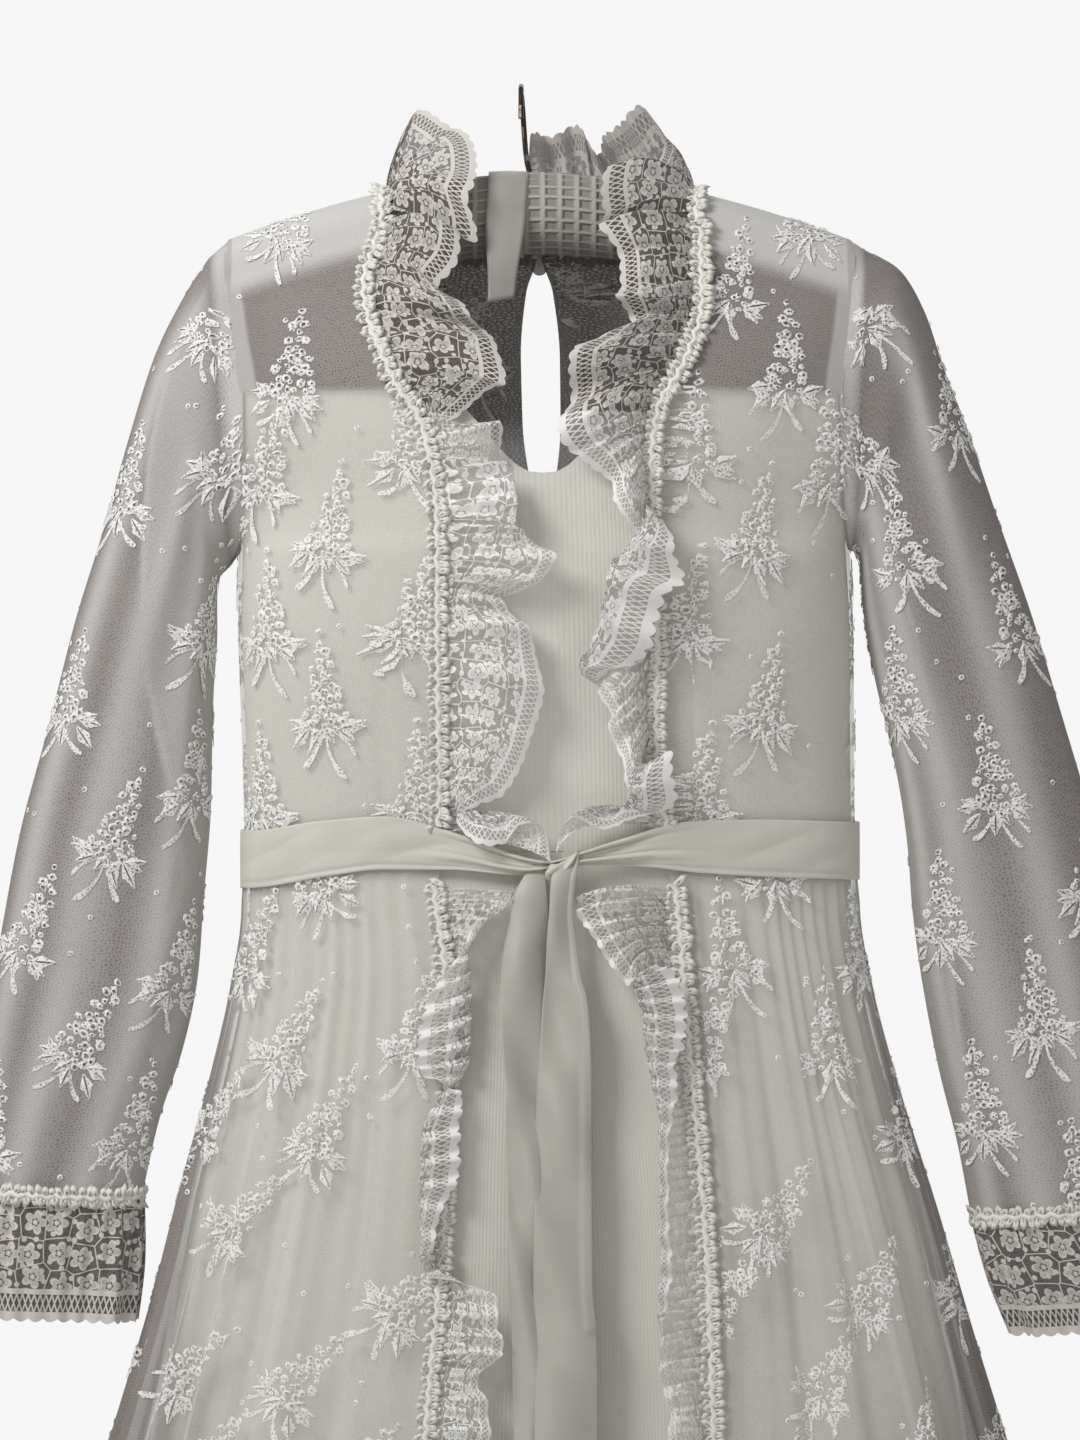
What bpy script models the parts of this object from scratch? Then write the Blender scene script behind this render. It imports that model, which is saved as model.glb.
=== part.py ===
"""Wedding dress on a padded hanger: a sheer lace over-dress on an opaque under-dress, with a ribbon belt.

Metres, +Z up. The dress faces -Y and +X is to the right of someone who looks at its front. The origin is
the point where the hook's wire rests on a rod. Tables are in millimetres and are read through MM.
"""
import math
from bisect import bisect_right

import bmesh
import bpy
from mathutils import Vector

MM = 0.001
LEFT, RIGHT = -1, 1
FRONT, BACK = -1, 1
SIDE_NAMES = {LEFT: "left", RIGHT: "right"}
FACE_NAMES = {FRONT: "front", BACK: "back"}

# Walls and clearances.
CLOTH = 1.0 * MM
BRAID_WALL = 2.0 * MM
SATIN = 1.2 * MM
SEAM = 0.3 * MM
LACE_LIFT = 2.4 * MM
BRAID_LIFT = 3.9 * MM
BELT_LIFT = 4.8 * MM

# Heights of the dress's landmarks.
HOOK_TOP_Z = 3.4 * MM
BAR_TOP_Z = -50.4 * MM
YOKE_FLAT_Z = -191 * MM
UNDERARM_Z = -280 * MM
LINING_TOP_Z = -186 * MM
LINING_DIP = 50 * MM
WAIST_Z = -462 * MM
BELT_TOP_Z = -446 * MM
BELT_BOTTOM_Z = -483 * MM
LINING_HEM_Z = -1455 * MM
LACE_HEM_Z = -1494 * MM

# Padded bar: it droops and thins towards both ends.
BAR_HALF_LENGTH = 184 * MM
BAR_DROOP = 43.6 * MM
BAR_DROOP_AT = 190 * MM
BAR_DROOP_POWER = 1.68
BAR_RADII = [(0, 25.0), (60, 24.5), (100, 22.5), (140, 20.5), (184, 18.5)]
BAR_CLEARANCE = 0.4 * MM
BAR_SIDES = 12
WRAP_STEP = math.radians(30)
WRAP_ROWS = 4

# Wire hook and the ribbon loop round the bar.
HOOK_WIRE = 1.65 * MM
HOOK_BEND = 22 * MM
HOOK_STEM_X = 5 * MM
HOOK_START, HOOK_END, HOOK_STEP = -60, 200, 20
RIBBON_X = -9 * MM
RIBBON_HALF_WIDTH = 12 * MM
RIBBON_CLEARANCE = 0.6 * MM
RIBBON_END = [(12, 0.95), (26, 0.85), (40, 0.7), (48, 0.6)]
RIBBON_LEAN = 0.08

# Where the dress's middle hangs, beside the hook, and its sections seen from above.
MIDDLE = [(-1494, 23), (-740, 22), (-623, 20), (-462, 17.5), (-280, 14), (-92, 11), (0, 11)]
SECTION_POWER = 2.4
FLAT_ARMHOLE = 30 * MM
HANG_REACH = 100 * MM
HANG_POWER = 1.6
BODICE = [
    # height, half width, front depth, back depth, armhole depth in front and at the back
    (-60, 191, 34, 30, 22, 22),
    (-94, 189, 40, 32, 24, 24),
    (-125, 187, 46, 36, 32, 30),
    (-149, 184, 51, 40, 37, 34),
    (-191, 178, 57, 44, 38, 34),
    (-235, 179, 61, 46, 31, 28),
    (-262, 181, 62, 47, 19, 17),
    (-275, 182.5, 62, 47, 8, 8),
    (-280, 183, 62, 47, 0, 0),
    (-330, 184.5, 61, 47, 0, 0),
    (-400, 183.5, 53, 43, 0, 0),
    (-462, 183, 46, 40, 0, 0),
]
LACE_SKIRT = [
    # height, half width, front depth, back depth, depth of the folds
    (-462, 183, 46, 40, 0),
    (-500, 183.5, 47, 41, 0.8),
    (-545, 190, 51, 46, 2),
    (-600, 202, 58, 53, 4),
    (-680, 223, 67, 61, 7),
    (-740, 238, 75, 69, 9),
    (-900, 283, 92, 84, 14),
    (-1080, 330, 108, 99, 17),
    (-1280, 384, 125, 114, 19),
    (-1455, 430, 138, 127, 21),
    (-1494, 441, 141, 130, 21),
]
LINING_SKIRT = [
    # height, half width, front depth, back depth, depth of the folds
    (-462, 183, 46, 40, 0),
    (-500, 183.5, 47, 41, 0),
    (-545, 188, 50, 45, 0.3),
    (-600, 199, 56, 51, 1),
    (-680, 219, 64, 58, 2),
    (-780, 236, 72, 66, 3),
    (-900, 253, 80, 73, 4),
    (-1080, 279, 91, 84, 5),
    (-1280, 307, 103, 96, 6),
    (-1455, 330, 112, 105, 6),
]
FLAT_ROWS = [-222, -250, -268, -279.9, -305, -335, -368, -400, -432]
BODICE_COLUMNS = {
    # where each column starts on the shoulder or neckline, and its angle round the section lower down
    FRONT: [(95, 90), (104, 66), (118, 53), (134, 41), (151, 31), (165, 22), (176, 14), (184, 7), (189, 0)],
    BACK: [(1, 90), (50, 78), (80, 66), (95, 53), (118, 41), (140, 31), (160, 22), (174, 14), (184, 7), (189, 0)],
}
SKIRT_ROWS = [-462, -505, -560, -640, -740, -870, -1040, -1240, -1455]
FRONT_FOLDS = 5.5
BACK_FOLDS = 6
LINING_FOLDS = 4
COLUMNS_PER_FOLD = 4

# The lace's front edges, as distances from the dress's middle.
OPENING = {
    LEFT: [(-1494, 100), (-815, 76), (-611, 61), (-539, 61), (-480, 67), (-431, 63), (-335, 62),
           (-263, 61), (-209, 68), (-179, 86), (-125, 103), (-65, 95)],
    RIGHT: [(-1494, 112), (-815, 86), (-731, 82), (-551, 83), (-473, 77), (-395, 61), (-335, 64),
            (-239, 62), (-197, 67), (-173, 82), (-131, 95), (-65, 95)],
}
NECK_X = 95 * MM
NECK_BACK_Z = -98 * MM
NECK_POWER = 4
KEYHOLE = [(-462, 0.15), (-262, 0.15), (-258, 2), (-235, 8), (-200, 11.7), (-160, 12), (-120, 8), (-103, 2), (-98, 1)]

# Ruffles beside the opening: where a flounce lies, how far it reaches in and how far it stands out.
BODICE_RUFFLE = {
    LEFT: [
        # height, reach, stand
        (-84, 34, 10), (-96, 48, 16), (-116, 52, 8), (-131, 41, 15), (-144, 48, 18), (-158, 58, 8),
        (-191, 50, 15), (-215, 48, 17), (-236, 46, 8), (-251, 44, 14), (-269, 33, 9), (-284, 62, 18),
        (-305, 45, 8), (-317, 39, 13), (-341, 50, 9), (-371, 58, 11), (-407, 50, 8), (-431, 24, 12),
        (-444, 30, 8),
    ],
    RIGHT: [
        # height, reach, stand
        (-84, 34, 10), (-100, 50, 16), (-125, 60, 8), (-144, 42, 15), (-158, 62, 18), (-191, 46, 8),
        (-218, 56, 17), (-236, 30, 8), (-256, 33, 14), (-274, 20, 8), (-300, 26, 13), (-329, 44, 17),
        (-347, 22, 8), (-365, 33, 13), (-388, 20, 8), (-415, 28, 12), (-432, 50, 16), (-444, 40, 8),
    ],
}
SKIRT_RUFFLE = {
    LEFT: [
        # height, reach, stand
        (-485, 38, 10), (-505, 36, 15), (-525, 26, 10), (-550, 18, 14), (-590, 20, 9), (-640, 16, 14),
        (-700, 22, 9), (-760, 18, 15), (-830, 26, 10), (-910, 20, 16), (-1000, 28, 10), (-1090, 22, 16),
        (-1180, 30, 10), (-1270, 24, 17), (-1360, 32, 11), (-1450, 26, 17), (-1488, 30, 12),
    ],
    RIGHT: [
        # height, reach, stand
        (-485, 52, 10), (-510, 44, 16), (-535, 30, 10), (-565, 26, 15), (-610, 20, 9), (-660, 24, 14),
        (-720, 18, 9), (-785, 22, 15), (-850, 28, 10), (-930, 20, 16), (-1010, 28, 10), (-1100, 22, 16),
        (-1190, 30, 10), (-1280, 24, 17), (-1370, 32, 11), (-1450, 26, 17), (-1488, 30, 12),
    ],
}
RUFFLE_ROOT = 8 * MM
RUFFLE_GAP = 1.0 * MM
RUFFLE_SHAPE = [
    # share of the reach past the root, share of the stand
    (None, 0), (0, 0), (0.33, 0.45), (0.7, 0.85), (1, 1),
]

# Standing ruffle round the neck: its root runs over the hanger and behind it.
NECK_WAVES = 8
NECK_WAVE_DEPTH = 11 * MM
NECK_RUFFLE_ROWS = [(0.4, 0.3), (1, 1)]
NECK_FRONT_RISE, NECK_BACK_RISE = 44 * MM, 76 * MM
NECK_FRONT_LEAN, NECK_BACK_LEAN = 4 * MM, 18 * MM
NECK_INWARD = 14 * MM
NECK_STAND = 2 * MM
BUTTON_RADIUS = 5 * MM
BUTTON_HEIGHT = 3.5 * MM
BUTTON_DROP = 7 * MM
BUTTON_CLEARANCE = 1 * MM

# Sleeves: where the outer and inner fold of the laid sleeve run, and how deep it is.
SLEEVE = {
    LEFT: [
        # outer x, outer z, inner x, inner z, half depth
        (-190, -103, -176, -289, 35), (-206, -128, -184, -298, 34), (-223, -163, -185, -311, 33),
        (-239, -214, -185, -335, 32), (-254, -268, -187, -365, 31), (-271, -323, -188, -401, 30),
        (-287, -386, -189, -443, 29), (-304, -449, -193, -491, 28), (-316, -512, -197, -542, 27),
        (-326, -569, -206, -584, 26), (-335, -620, -220, -626, 25), (-343, -665, -230, -670, 24),
    ],
    RIGHT: [
        # outer x, outer z, inner x, inner z, half depth
        (209, -98, 202, -281, 35), (230, -110, 206, -288, 34), (245, -135, 207, -302, 33),
        (257, -170, 209, -325, 33), (272, -209, 215, -358, 32), (290, -262, 223, -392, 31),
        (310, -319, 230, -425, 30), (329, -382, 235, -461, 29), (350, -453, 238, -500, 28),
        (368, -522, 244, -544, 27), (383, -588, 254, -596, 26), (395, -636, 265, -640, 25),
        (403, -675, 273, -682, 24),
    ],
}
SLEEVE_GAP = 0.8 * MM
UNDERARM_GAP = 2.4 * MM
SLEEVE_PLEATS = 5
SLEEVE_PLEAT_DEPTH = 3 * MM
CUFF_WAVES = 9
CUFF_RUFFLE = [
    # distance below the cuff, flare, depth of the waves
    (0.3, 0, 0), (7, 0, 0), (40, -4, 5), (82, -8, 9),
]
CUFF_BRAID_LIFT = 2.4 * MM
CUFF_BRAID_COLUMNS = 20
CUFF_LEAN = {LEFT: 0.06, RIGHT: 0.34}
BRAID_WIDTH = 11 * MM
BRAID_INSIDE = 3 * MM
EDGE_BAND = 10 * MM

# Belt: the knot sits to the right of the middle, and both tails hang from it.
KNOT = (26 * MM, -470 * MM)
KNOT_SIZE = (30 * MM, 14 * MM, 26 * MM)
TAILS = {
    LEFT: [
        # height, left edge x, right edge x
        (-483.4, 8, 24), (-500, -2, 22), (-540, -12, 18), (-620, -15, 15), (-720, -16, 13), (-850, -19, 12),
        (-950, -20, 14), (-1050, -21, 15),
    ],
    RIGHT: [
        # height, left edge x, right edge x
        (-483.4, 25, 40), (-500, 23.5, 44), (-540, 19.5, 44), (-620, 16.5, 43), (-720, 14.5, 43),
        (-850, 13.5, 45), (-950, 15.5, 49), (-1030, 16.5, 52),
    ],
}
TAIL_LIFT = 5.5 * MM

COLOURS = {
    "lace": ((0.60, 0.57, 0.55), 0.9), "lining": ((0.80, 0.78, 0.70), 0.75),
    "ruffle": ((0.78, 0.77, 0.76), 0.9), "braid": ((0.82, 0.80, 0.72), 0.8),
    "satin": ((0.80, 0.78, 0.68), 0.4), "pad": ((0.86, 0.85, 0.82), 0.85),
    "steel": ((0.30, 0.27, 0.24), 0.3), "button": ((0.75, 0.72, 0.62), 0.35),
}


def smooth_curve(points):
    """A function through (at, value) points in millimetres that never overshoots them."""
    points = sorted(points)
    ats = [point[0] * MM for point in points]
    values = [point[1] * MM for point in points]
    spans = [after - before for before, after in zip(ats, ats[1:])]
    rates = [(after - before) / span for before, after, span in zip(values, values[1:], spans)]
    slopes = [rates[0]]
    for before, after in zip(rates, rates[1:]):
        slopes.append(0 if before * after <= 0 else 2 * before * after / (before + after))
    slopes.append(rates[-1])

    def value_at(at):
        at = min(max(at, ats[0]), ats[-1])
        index = min(bisect_right(ats, at) - 1, len(spans) - 1)
        span = spans[index]
        part = (at - ats[index]) / span
        rise = part * part * (3 - 2 * part)
        bend = part * (1 - part)
        return (values[index] * (1 - rise) + values[index + 1] * rise
                + span * bend * ((1 - part) * slopes[index] - part * slopes[index + 1]))

    return value_at


def column(rows, number):
    return smooth_curve([(row[0], row[number]) for row in rows])


def ease(part):
    part = min(max(part, 0), 1)
    return part * part * (3 - 2 * part)


middle = smooth_curve(MIDDLE)
bar_radius = smooth_curve(BAR_RADII)
keyhole = smooth_curve(KEYHOLE)
opening = {side: smooth_curve(rows) for side, rows in OPENING.items()}
bodice_width = column(BODICE, 1)
bodice_depth = {FRONT: column(BODICE, 2), BACK: column(BODICE, 3)}
armhole_depth = {FRONT: column(BODICE, 4), BACK: column(BODICE, 5)}


def bar_top(x):
    return BAR_TOP_Z - BAR_DROOP * (abs(x) / BAR_DROOP_AT) ** BAR_DROOP_POWER


def shoulder_roll(x, lift):
    """Radius of the cloth's bend over the bar: the lace lies on it."""
    slope = BAR_DROOP * BAR_DROOP_POWER / BAR_DROOP_AT * (abs(x) / BAR_DROOP_AT) ** (BAR_DROOP_POWER - 1)
    upright = bar_radius(abs(x)) * math.hypot(1, slope)
    return upright + BAR_CLEARANCE + lift - LACE_LIFT


def ridge(x, lift):
    """Height of the cloth where it crosses the bar."""
    slope_radius = shoulder_roll(x, lift)
    return bar_top(x) - bar_radius(abs(x)) + slope_radius


def edge_angle(x, half_width):
    """Angle round the section, 0 at the side seam and a right angle at the middle, of a place x from it."""
    return math.acos(min(max(x / half_width, 0), 1) ** (SECTION_POWER / 2))


def section(angle):
    """Share of the half width and of the depth at an angle round the flattened section."""
    return max(math.cos(angle), 0) ** (2 / SECTION_POWER), max(math.sin(angle), 0) ** (2 / SECTION_POWER)


def bodice_y(x, z, face, lift):
    """How far the bodice's wall lies from the dress's mid plane, for x measured from its middle."""
    half_width = bodice_width(z) + lift
    armhole = armhole_depth[face](z) * (1 + lift / armhole_depth[face](YOKE_FLAT_Z)) + SEAM / 2
    round_share = section(edge_angle(x, half_width))[1]
    flat_share = 1 - min(x / half_width, 1) ** 2
    share = round_share + (flat_share - round_share) * min(armhole / FLAT_ARMHOLE, 1)
    target = armhole + (bodice_depth[face](z) + lift - armhole) * share
    roll = shoulder_roll(x, lift)
    drop = ridge(x, lift) - z
    if drop < roll:
        return max(math.sqrt(max(roll ** 2 - (roll - drop) ** 2, 0)), SEAM / 2)
    return roll + (target - roll) * (1 - (1 - min((drop - roll) / HANG_REACH, 1)) ** HANG_POWER)


def bodice_point(x, z, side, face, lift):
    return Vector((middle(z) + side * x, face * bodice_y(x, z, face, lift), z))


def skirt_point(angle, z, side, face, rows, lift):
    across, deep = section(angle)
    depth = rows["depth"][face](z) + lift
    return Vector((middle(z) + side * (rows["width"](z) + lift) * across,
                   face * max(depth * deep, SEAM / 2), z))


def skirt_rows(table):
    return {"width": column(table, 1), "depth": {FRONT: column(table, 2), BACK: column(table, 3)},
            "fold": column(table, 4)}


lace_skirt = skirt_rows(LACE_SKIRT)
lining_skirt = skirt_rows(LINING_SKIRT)


def clear_scene():
    for old in list(bpy.data.objects):
        bpy.data.objects.remove(old, do_unlink=True)


def material_named(name, kind):
    colour, roughness = COLOURS[kind]
    material = bpy.data.materials.new(name)
    material.use_nodes = True
    shader = material.node_tree.nodes["Principled BSDF"]
    shader.inputs["Base Color"].default_value = (*colour, 1)
    shader.inputs["Roughness"].default_value = roughness
    shader.inputs["Metallic"].default_value = 1.0 if kind == "steel" else 0.0
    return material


def place(name, mesh, kind):
    piece = bpy.data.objects.new(name, mesh)
    dress.objects.link(piece)
    piece.data.materials.append(material_named(name + "_material", kind))
    return piece


def sheet(name, rows, wall, kind, outward, closed=False):
    """A cloth wall through rows of points, thickened to its outer side by Solidify. None leaves a gap."""
    net = bmesh.new()
    grid = [[net.verts.new(point) if point else None for point in row] for row in rows]
    count = len(grid[0])
    for upper, lower in zip(grid, grid[1:]):
        for number in range(count if closed else count - 1):
            after = (number + 1) % count
            corners = (upper[number], upper[after], lower[after], lower[number])
            if None not in corners:
                net.faces.new(corners)
    net.normal_update()
    facing = sum(face.normal.dot(outward(face.calc_center_median())) * face.calc_area() for face in net.faces)
    if facing < 0:
        bmesh.ops.reverse_faces(net, faces=net.faces)
    mesh = bpy.data.meshes.new(name)
    net.to_mesh(mesh)
    net.free()
    mesh.shade_smooth()
    piece = place(name, mesh, kind)
    solidify = piece.modifiers.new("Wall", "SOLIDIFY")
    solidify.thickness = wall
    solidify.offset = 1
    return piece


def from_middle(point):
    return Vector((point.x - middle(point.z), point.y * 3, 0))


def towards_viewer(point):
    return Vector((0, -1, 0))


def neck_height(x):
    """Height of the back neckline at x from the middle."""
    corner = ridge(NECK_X, LACE_LIFT) - shoulder_roll(NECK_X, LACE_LIFT)
    return NECK_BACK_Z + (corner - NECK_BACK_Z) * (x / NECK_X) ** NECK_POWER


def bodice_heights(x, top, lift):
    """Rows of a bodice panel at x: round the bar, down to the flat rows, then level to the waist."""
    roll = shoulder_roll(x, lift)
    heights = [top - roll * (1 - math.cos(WRAP_STEP * step)) for step in range(WRAP_ROWS)]
    hang = heights[-1]
    heights += [hang + (YOKE_FLAT_Z - hang) * part for part in (0.32, 0.66, 1)]
    return heights + [z * MM for z in FLAT_ROWS] + [WAIST_Z + SEAM / 2]


def lace_rows():
    """Heights of the lace panels' rows at their front edge, from the shoulder to the hem."""
    bodice = bodice_heights(NECK_X, ridge(NECK_X, LACE_LIFT), LACE_LIFT)
    return bodice + [height * MM for height in SKIRT_ROWS[1:]] + [LACE_HEM_Z]


def edge_x(side, z):
    """The lace's front edge as it is cut: straight from each row of the panels to the next."""
    heights = lace_rows()[::-1]
    across = [opening[side](height) for height in heights]
    across[-WRAP_ROWS:] = [NECK_X] * WRAP_ROWS
    index = min(max(bisect_right(heights, z) - 1, 0), len(heights) - 2)
    part = (z - heights[index]) / (heights[index + 1] - heights[index])
    return across[index] + (across[index + 1] - across[index]) * min(max(part, 0), 1)


def lace_bodice_panel(side, face):
    """Half of the lace bodice: from the front edge or the keyhole out to the armhole and side seam."""
    columns = []
    for top_x, degrees in BODICE_COLUMNS[face]:
        top_x *= MM
        below_bar = face == BACK and top_x < NECK_X
        heights = bodice_heights(top_x, ridge(top_x, LACE_LIFT), LACE_LIFT)
        if below_bar:
            heights[:WRAP_ROWS + 3] = [None] * (WRAP_ROWS - 1) + [
                neck_height(top_x) + (YOKE_FLAT_Z - neck_height(top_x)) * part for part in (0, 0.32, 0.66, 1)]
        points = []
        for row, z in enumerate(heights):
            if z is None:
                points.append(None)
                continue
            half_width = bodice_width(z) + LACE_LIFT
            edge = edge_x(side, z) if face == FRONT else keyhole(z)
            low_x = edge if degrees == 90 else section(math.radians(degrees))[0] * half_width
            if row < WRAP_ROWS and not below_bar:
                x = top_x
            elif degrees == 0:
                x = half_width
            else:
                start = (top_x - edge) / (half_width - edge) if degrees < 90 else 0
                part = max((low_x - edge) / (half_width - edge), start * 0.7)
                x = edge + (half_width - edge) * (start + (part - start) * ease(row / 7))
            points.append(bodice_point(x, z, side, face, LACE_LIFT))
        columns.append(points)
    name = f"lace_bodice_{FACE_NAMES[face]}_{SIDE_NAMES[side]}"
    return sheet(name, list(zip(*columns)), CLOTH, "lace", from_middle)


def lining_bodice(face):
    """Opaque under-bodice: straight across below the yoke, with a dip at the middle of the front."""
    angles = [math.radians(value) for value in (0, 7, 14, 22, 31, 41, 53, 66, 78, 90)]
    heights = [LINING_TOP_Z] + [z * MM for z in FLAT_ROWS] + [WAIST_Z + SEAM / 2]
    dip = LINING_DIP
    rows = []
    for number, z in enumerate(heights):
        row = []
        for side in (LEFT, RIGHT):
            sequence = angles if side == LEFT else angles[-2::-1]
            for angle in sequence:
                sink = dip * ease((math.degrees(angle) - 45) / 45) if face == FRONT else dip
                level = z - sink * max(0, 1 - number / 3)
                x = section(angle)[0] * bodice_width(level)
                row.append(bodice_point(x, level, side, face, 0))
        rows.append(row)
    return sheet(f"underbodice_{FACE_NAMES[face]}", rows, CLOTH, "lining", from_middle)


def crest_lift(part, folds, depth):
    """Rise of soft folds, with a crest at part 0."""
    return depth * (0.5 + 0.5 * math.cos(2 * math.pi * folds * part))


def lining_skirt_panel(face):
    rows = []
    half = LINING_FOLDS * COLUMNS_PER_FOLD // 2
    for height in SKIRT_ROWS:
        z = height * MM - (SEAM / 2 if height == SKIRT_ROWS[0] else 0)
        row = []
        for number in range(-half, half + 1):
            side = LEFT if number < 0 else RIGHT
            part = 1 - abs(number) / half
            fade = 1 - ease(part * 2 - 1)
            lift = crest_lift(part, LINING_FOLDS / 2, lining_skirt["fold"](z)) * fade
            row.append(skirt_point(math.pi / 2 * part, z, side, face, lining_skirt, lift))
        rows.append(row)
    return sheet(f"underskirt_{FACE_NAMES[face]}", rows, CLOTH, "lining", from_middle)


def lace_skirt_panel(side, face):
    """Quarter of the lace skirt, from the side seam to the braided edge or the back seam."""
    folds = FRONT_FOLDS if face == FRONT else BACK_FOLDS
    steps = round(folds * COLUMNS_PER_FOLD)
    rows = []
    for height in SKIRT_ROWS + [LACE_HEM_Z / MM]:
        z = height * MM - (SEAM / 2 if height == SKIRT_ROWS[0] else 0)
        width = lace_skirt["width"](z) + LACE_LIFT
        edge = edge_x(side, z) if face == FRONT else SEAM / 2
        band = EDGE_BAND if face == FRONT else 0
        last = edge_angle(edge + band, width)
        row = []
        for number in range(steps + 1):
            part = number / steps
            lift = LACE_LIFT + crest_lift(part, folds, lace_skirt["fold"](z))
            row.append(skirt_point(last * part, z, side, face, lace_skirt, lift))
        if face == FRONT:
            row.append(Vector((middle(z) + side * edge, front_y(edge, z, LACE_LIFT), z)))
        rows.append(row)
    name = f"lace_skirt_{FACE_NAMES[face]}_{SIDE_NAMES[side]}"
    return sheet(name, rows, CLOTH, "lace", from_middle)


def front_y(x, z, lift):
    """Front of the body at a place x from the dress's middle, above or below the waist."""
    if z > WAIST_Z:
        return -bodice_y(abs(x), z, FRONT, lift)
    width = lace_skirt["width"](z) + lift
    return -(lace_skirt["depth"][FRONT](z) + lift) * section(edge_angle(abs(x), width))[1]


def front_ruffle(name, side, table):
    """Gathered strip beside the opening: its root lies in the lace's plane, its flounces reach in."""
    reach_at = column(table, 1)
    stand_at = column(table, 2)
    heights = [row[0] * MM for row in table]
    heights += [z for z in lace_rows() if heights[-1] < z < heights[0] and
                min(abs(z - other) for other in heights) > 6 * MM]
    rows = []
    for z in sorted(heights, reverse=True):
        reach, stand = reach_at(z), stand_at(z)
        edge = edge_x(side, z) - RUFFLE_GAP
        row = []
        for across, rise in RUFFLE_SHAPE:
            distance = RUFFLE_ROOT + (reach - RUFFLE_ROOT) * across if across is not None else 0
            x = edge - distance
            row.append(Vector((middle(z) + side * x, front_y(x, z, LACE_LIFT) - stand * rise, z)))
        rows.append(row)
    return sheet(name, rows, CLOTH, "ruffle", towards_viewer)


def edge_braid(name, side, heights):
    """Looped gimp along a front edge, on the lace."""
    rows = []
    for z in heights:
        edge = edge_x(side, z)
        row = []
        for across in (-BRAID_INSIDE, BRAID_WIDTH / 2 - BRAID_INSIDE, BRAID_WIDTH - BRAID_INSIDE):
            x = edge + across
            row.append(Vector((middle(z) + side * x, front_y(x, z, BRAID_LIFT), z)))
        rows.append(row)
    return sheet(name, rows, BRAID_WALL, "braid", towards_viewer)


def neck_stations(count):
    """Places along the neckline from the left front, over the bar and round the back, to the right front.

    Each is a point on the lace, the wall's outward direction there, and the way away from the opening.
    """
    half = []
    roll = shoulder_roll(NECK_X, LACE_LIFT)
    for degrees in range(-56, 89, 8):
        angle = math.radians(degrees)
        half.append(Vector((NECK_X, roll * math.sin(angle),
                            ridge(NECK_X, LACE_LIFT) - roll * (1 - math.cos(angle)))))
    for x in (90, 82, 72, 60, 48, 36, 24, 12, 4):
        z = neck_height(x * MM)
        half.append(Vector((x * MM, bodice_y(x * MM, z, BACK, LACE_LIFT), z)))
    left = [Vector((middle(point.z) - point.x, point.y, point.z)) for point in half]
    right = [Vector((middle(point.z) + point.x, point.y, point.z)) for point in reversed(half)]
    path = resample(left + right, count)
    stations = []
    for number, point in enumerate(path):
        x = abs(point.x - middle(point.z))
        centre_z = ridge(x, LACE_LIFT) - shoulder_roll(x, LACE_LIFT)
        turn = math.atan2(point.y, max(point.z - centre_z, 0))
        out = Vector((0, math.sin(turn), math.cos(turn)))
        along = path[min(number + 1, count - 1)] - path[max(number - 1, 0)]
        away = out.cross(along).normalized()
        stations.append((point, out, away))
    return stations


def on_body(point, out, lift):
    """The point moved onto the body's wall at this lift, on the bar's round or below it."""
    x = abs(point.x - middle(point.z))
    if out.z > 0.05:
        roll = shoulder_roll(x, lift)
        return Vector((point.x, roll * out.y, ridge(x, lift) - roll * (1 - out.z)))
    return Vector((point.x, bodice_y(x, point.z, BACK, lift), point.z))


def resample(path, count):
    """Evenly spaced points along a polyline."""
    lengths = [0]
    for before, after in zip(path, path[1:]):
        lengths.append(lengths[-1] + (after - before).length)
    points = []
    for number in range(count):
        along = lengths[-1] * number / (count - 1)
        index = min(bisect_right(lengths, along) - 1, len(path) - 2)
        part = (along - lengths[index]) / (lengths[index + 1] - lengths[index])
        points.append(path[index].lerp(path[index + 1], part))
    return points


def neck_ruffle():
    """Standing ruffle: its root starts beside the lace's neckline, its free edge waves round the bar."""
    stations = neck_stations(NECK_WAVES * COLUMNS_PER_FOLD + 1)
    last = len(stations) - 1
    rows = [[point - away * RUFFLE_GAP + out * SEAM for point, out, away in stations],
            [on_body(point - away * RUFFLE_ROOT, out, LACE_LIFT + SEAM) for point, out, away in stations]]
    for share, wave_share in NECK_RUFFLE_ROWS:
        row = []
        for number, (point, out, away) in enumerate(stations):
            part = number / last
            back = ease(1.5 - abs(part - 0.5) * 4.5)
            lean = NECK_FRONT_LEAN + (NECK_BACK_LEAN - NECK_FRONT_LEAN) * back
            height = NECK_FRONT_RISE + (NECK_BACK_RISE - NECK_FRONT_RISE) * back
            rise = Vector((0, lean, height)) - away * NECK_INWARD * (1 - back) + out * NECK_STAND
            wave = NECK_WAVE_DEPTH * wave_share * math.sin(2 * math.pi * NECK_WAVES * part)
            sway = Vector((wave * (1 - back), wave * (0.3 + 0.5 * back), 0))
            row.append(rows[1][number] + rise * share + sway)
        rows.append(row)
    return sheet("ruffle_neck", rows, CLOTH, "ruffle", lambda point: Vector((0, 1, 0)))


def neck_braid():
    """Gimp round the neckline, on the lace's outer side."""
    rows = []
    for across in (-BRAID_INSIDE, BRAID_WIDTH - BRAID_INSIDE):
        rows.append([on_body(point + away * across, out, BRAID_LIFT)
                     for point, out, away in neck_stations(33)])
    return sheet("braid_neck", rows, BRAID_WALL, "braid", lambda point: Vector((0, point.y, point.z + 0.11)))


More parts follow.
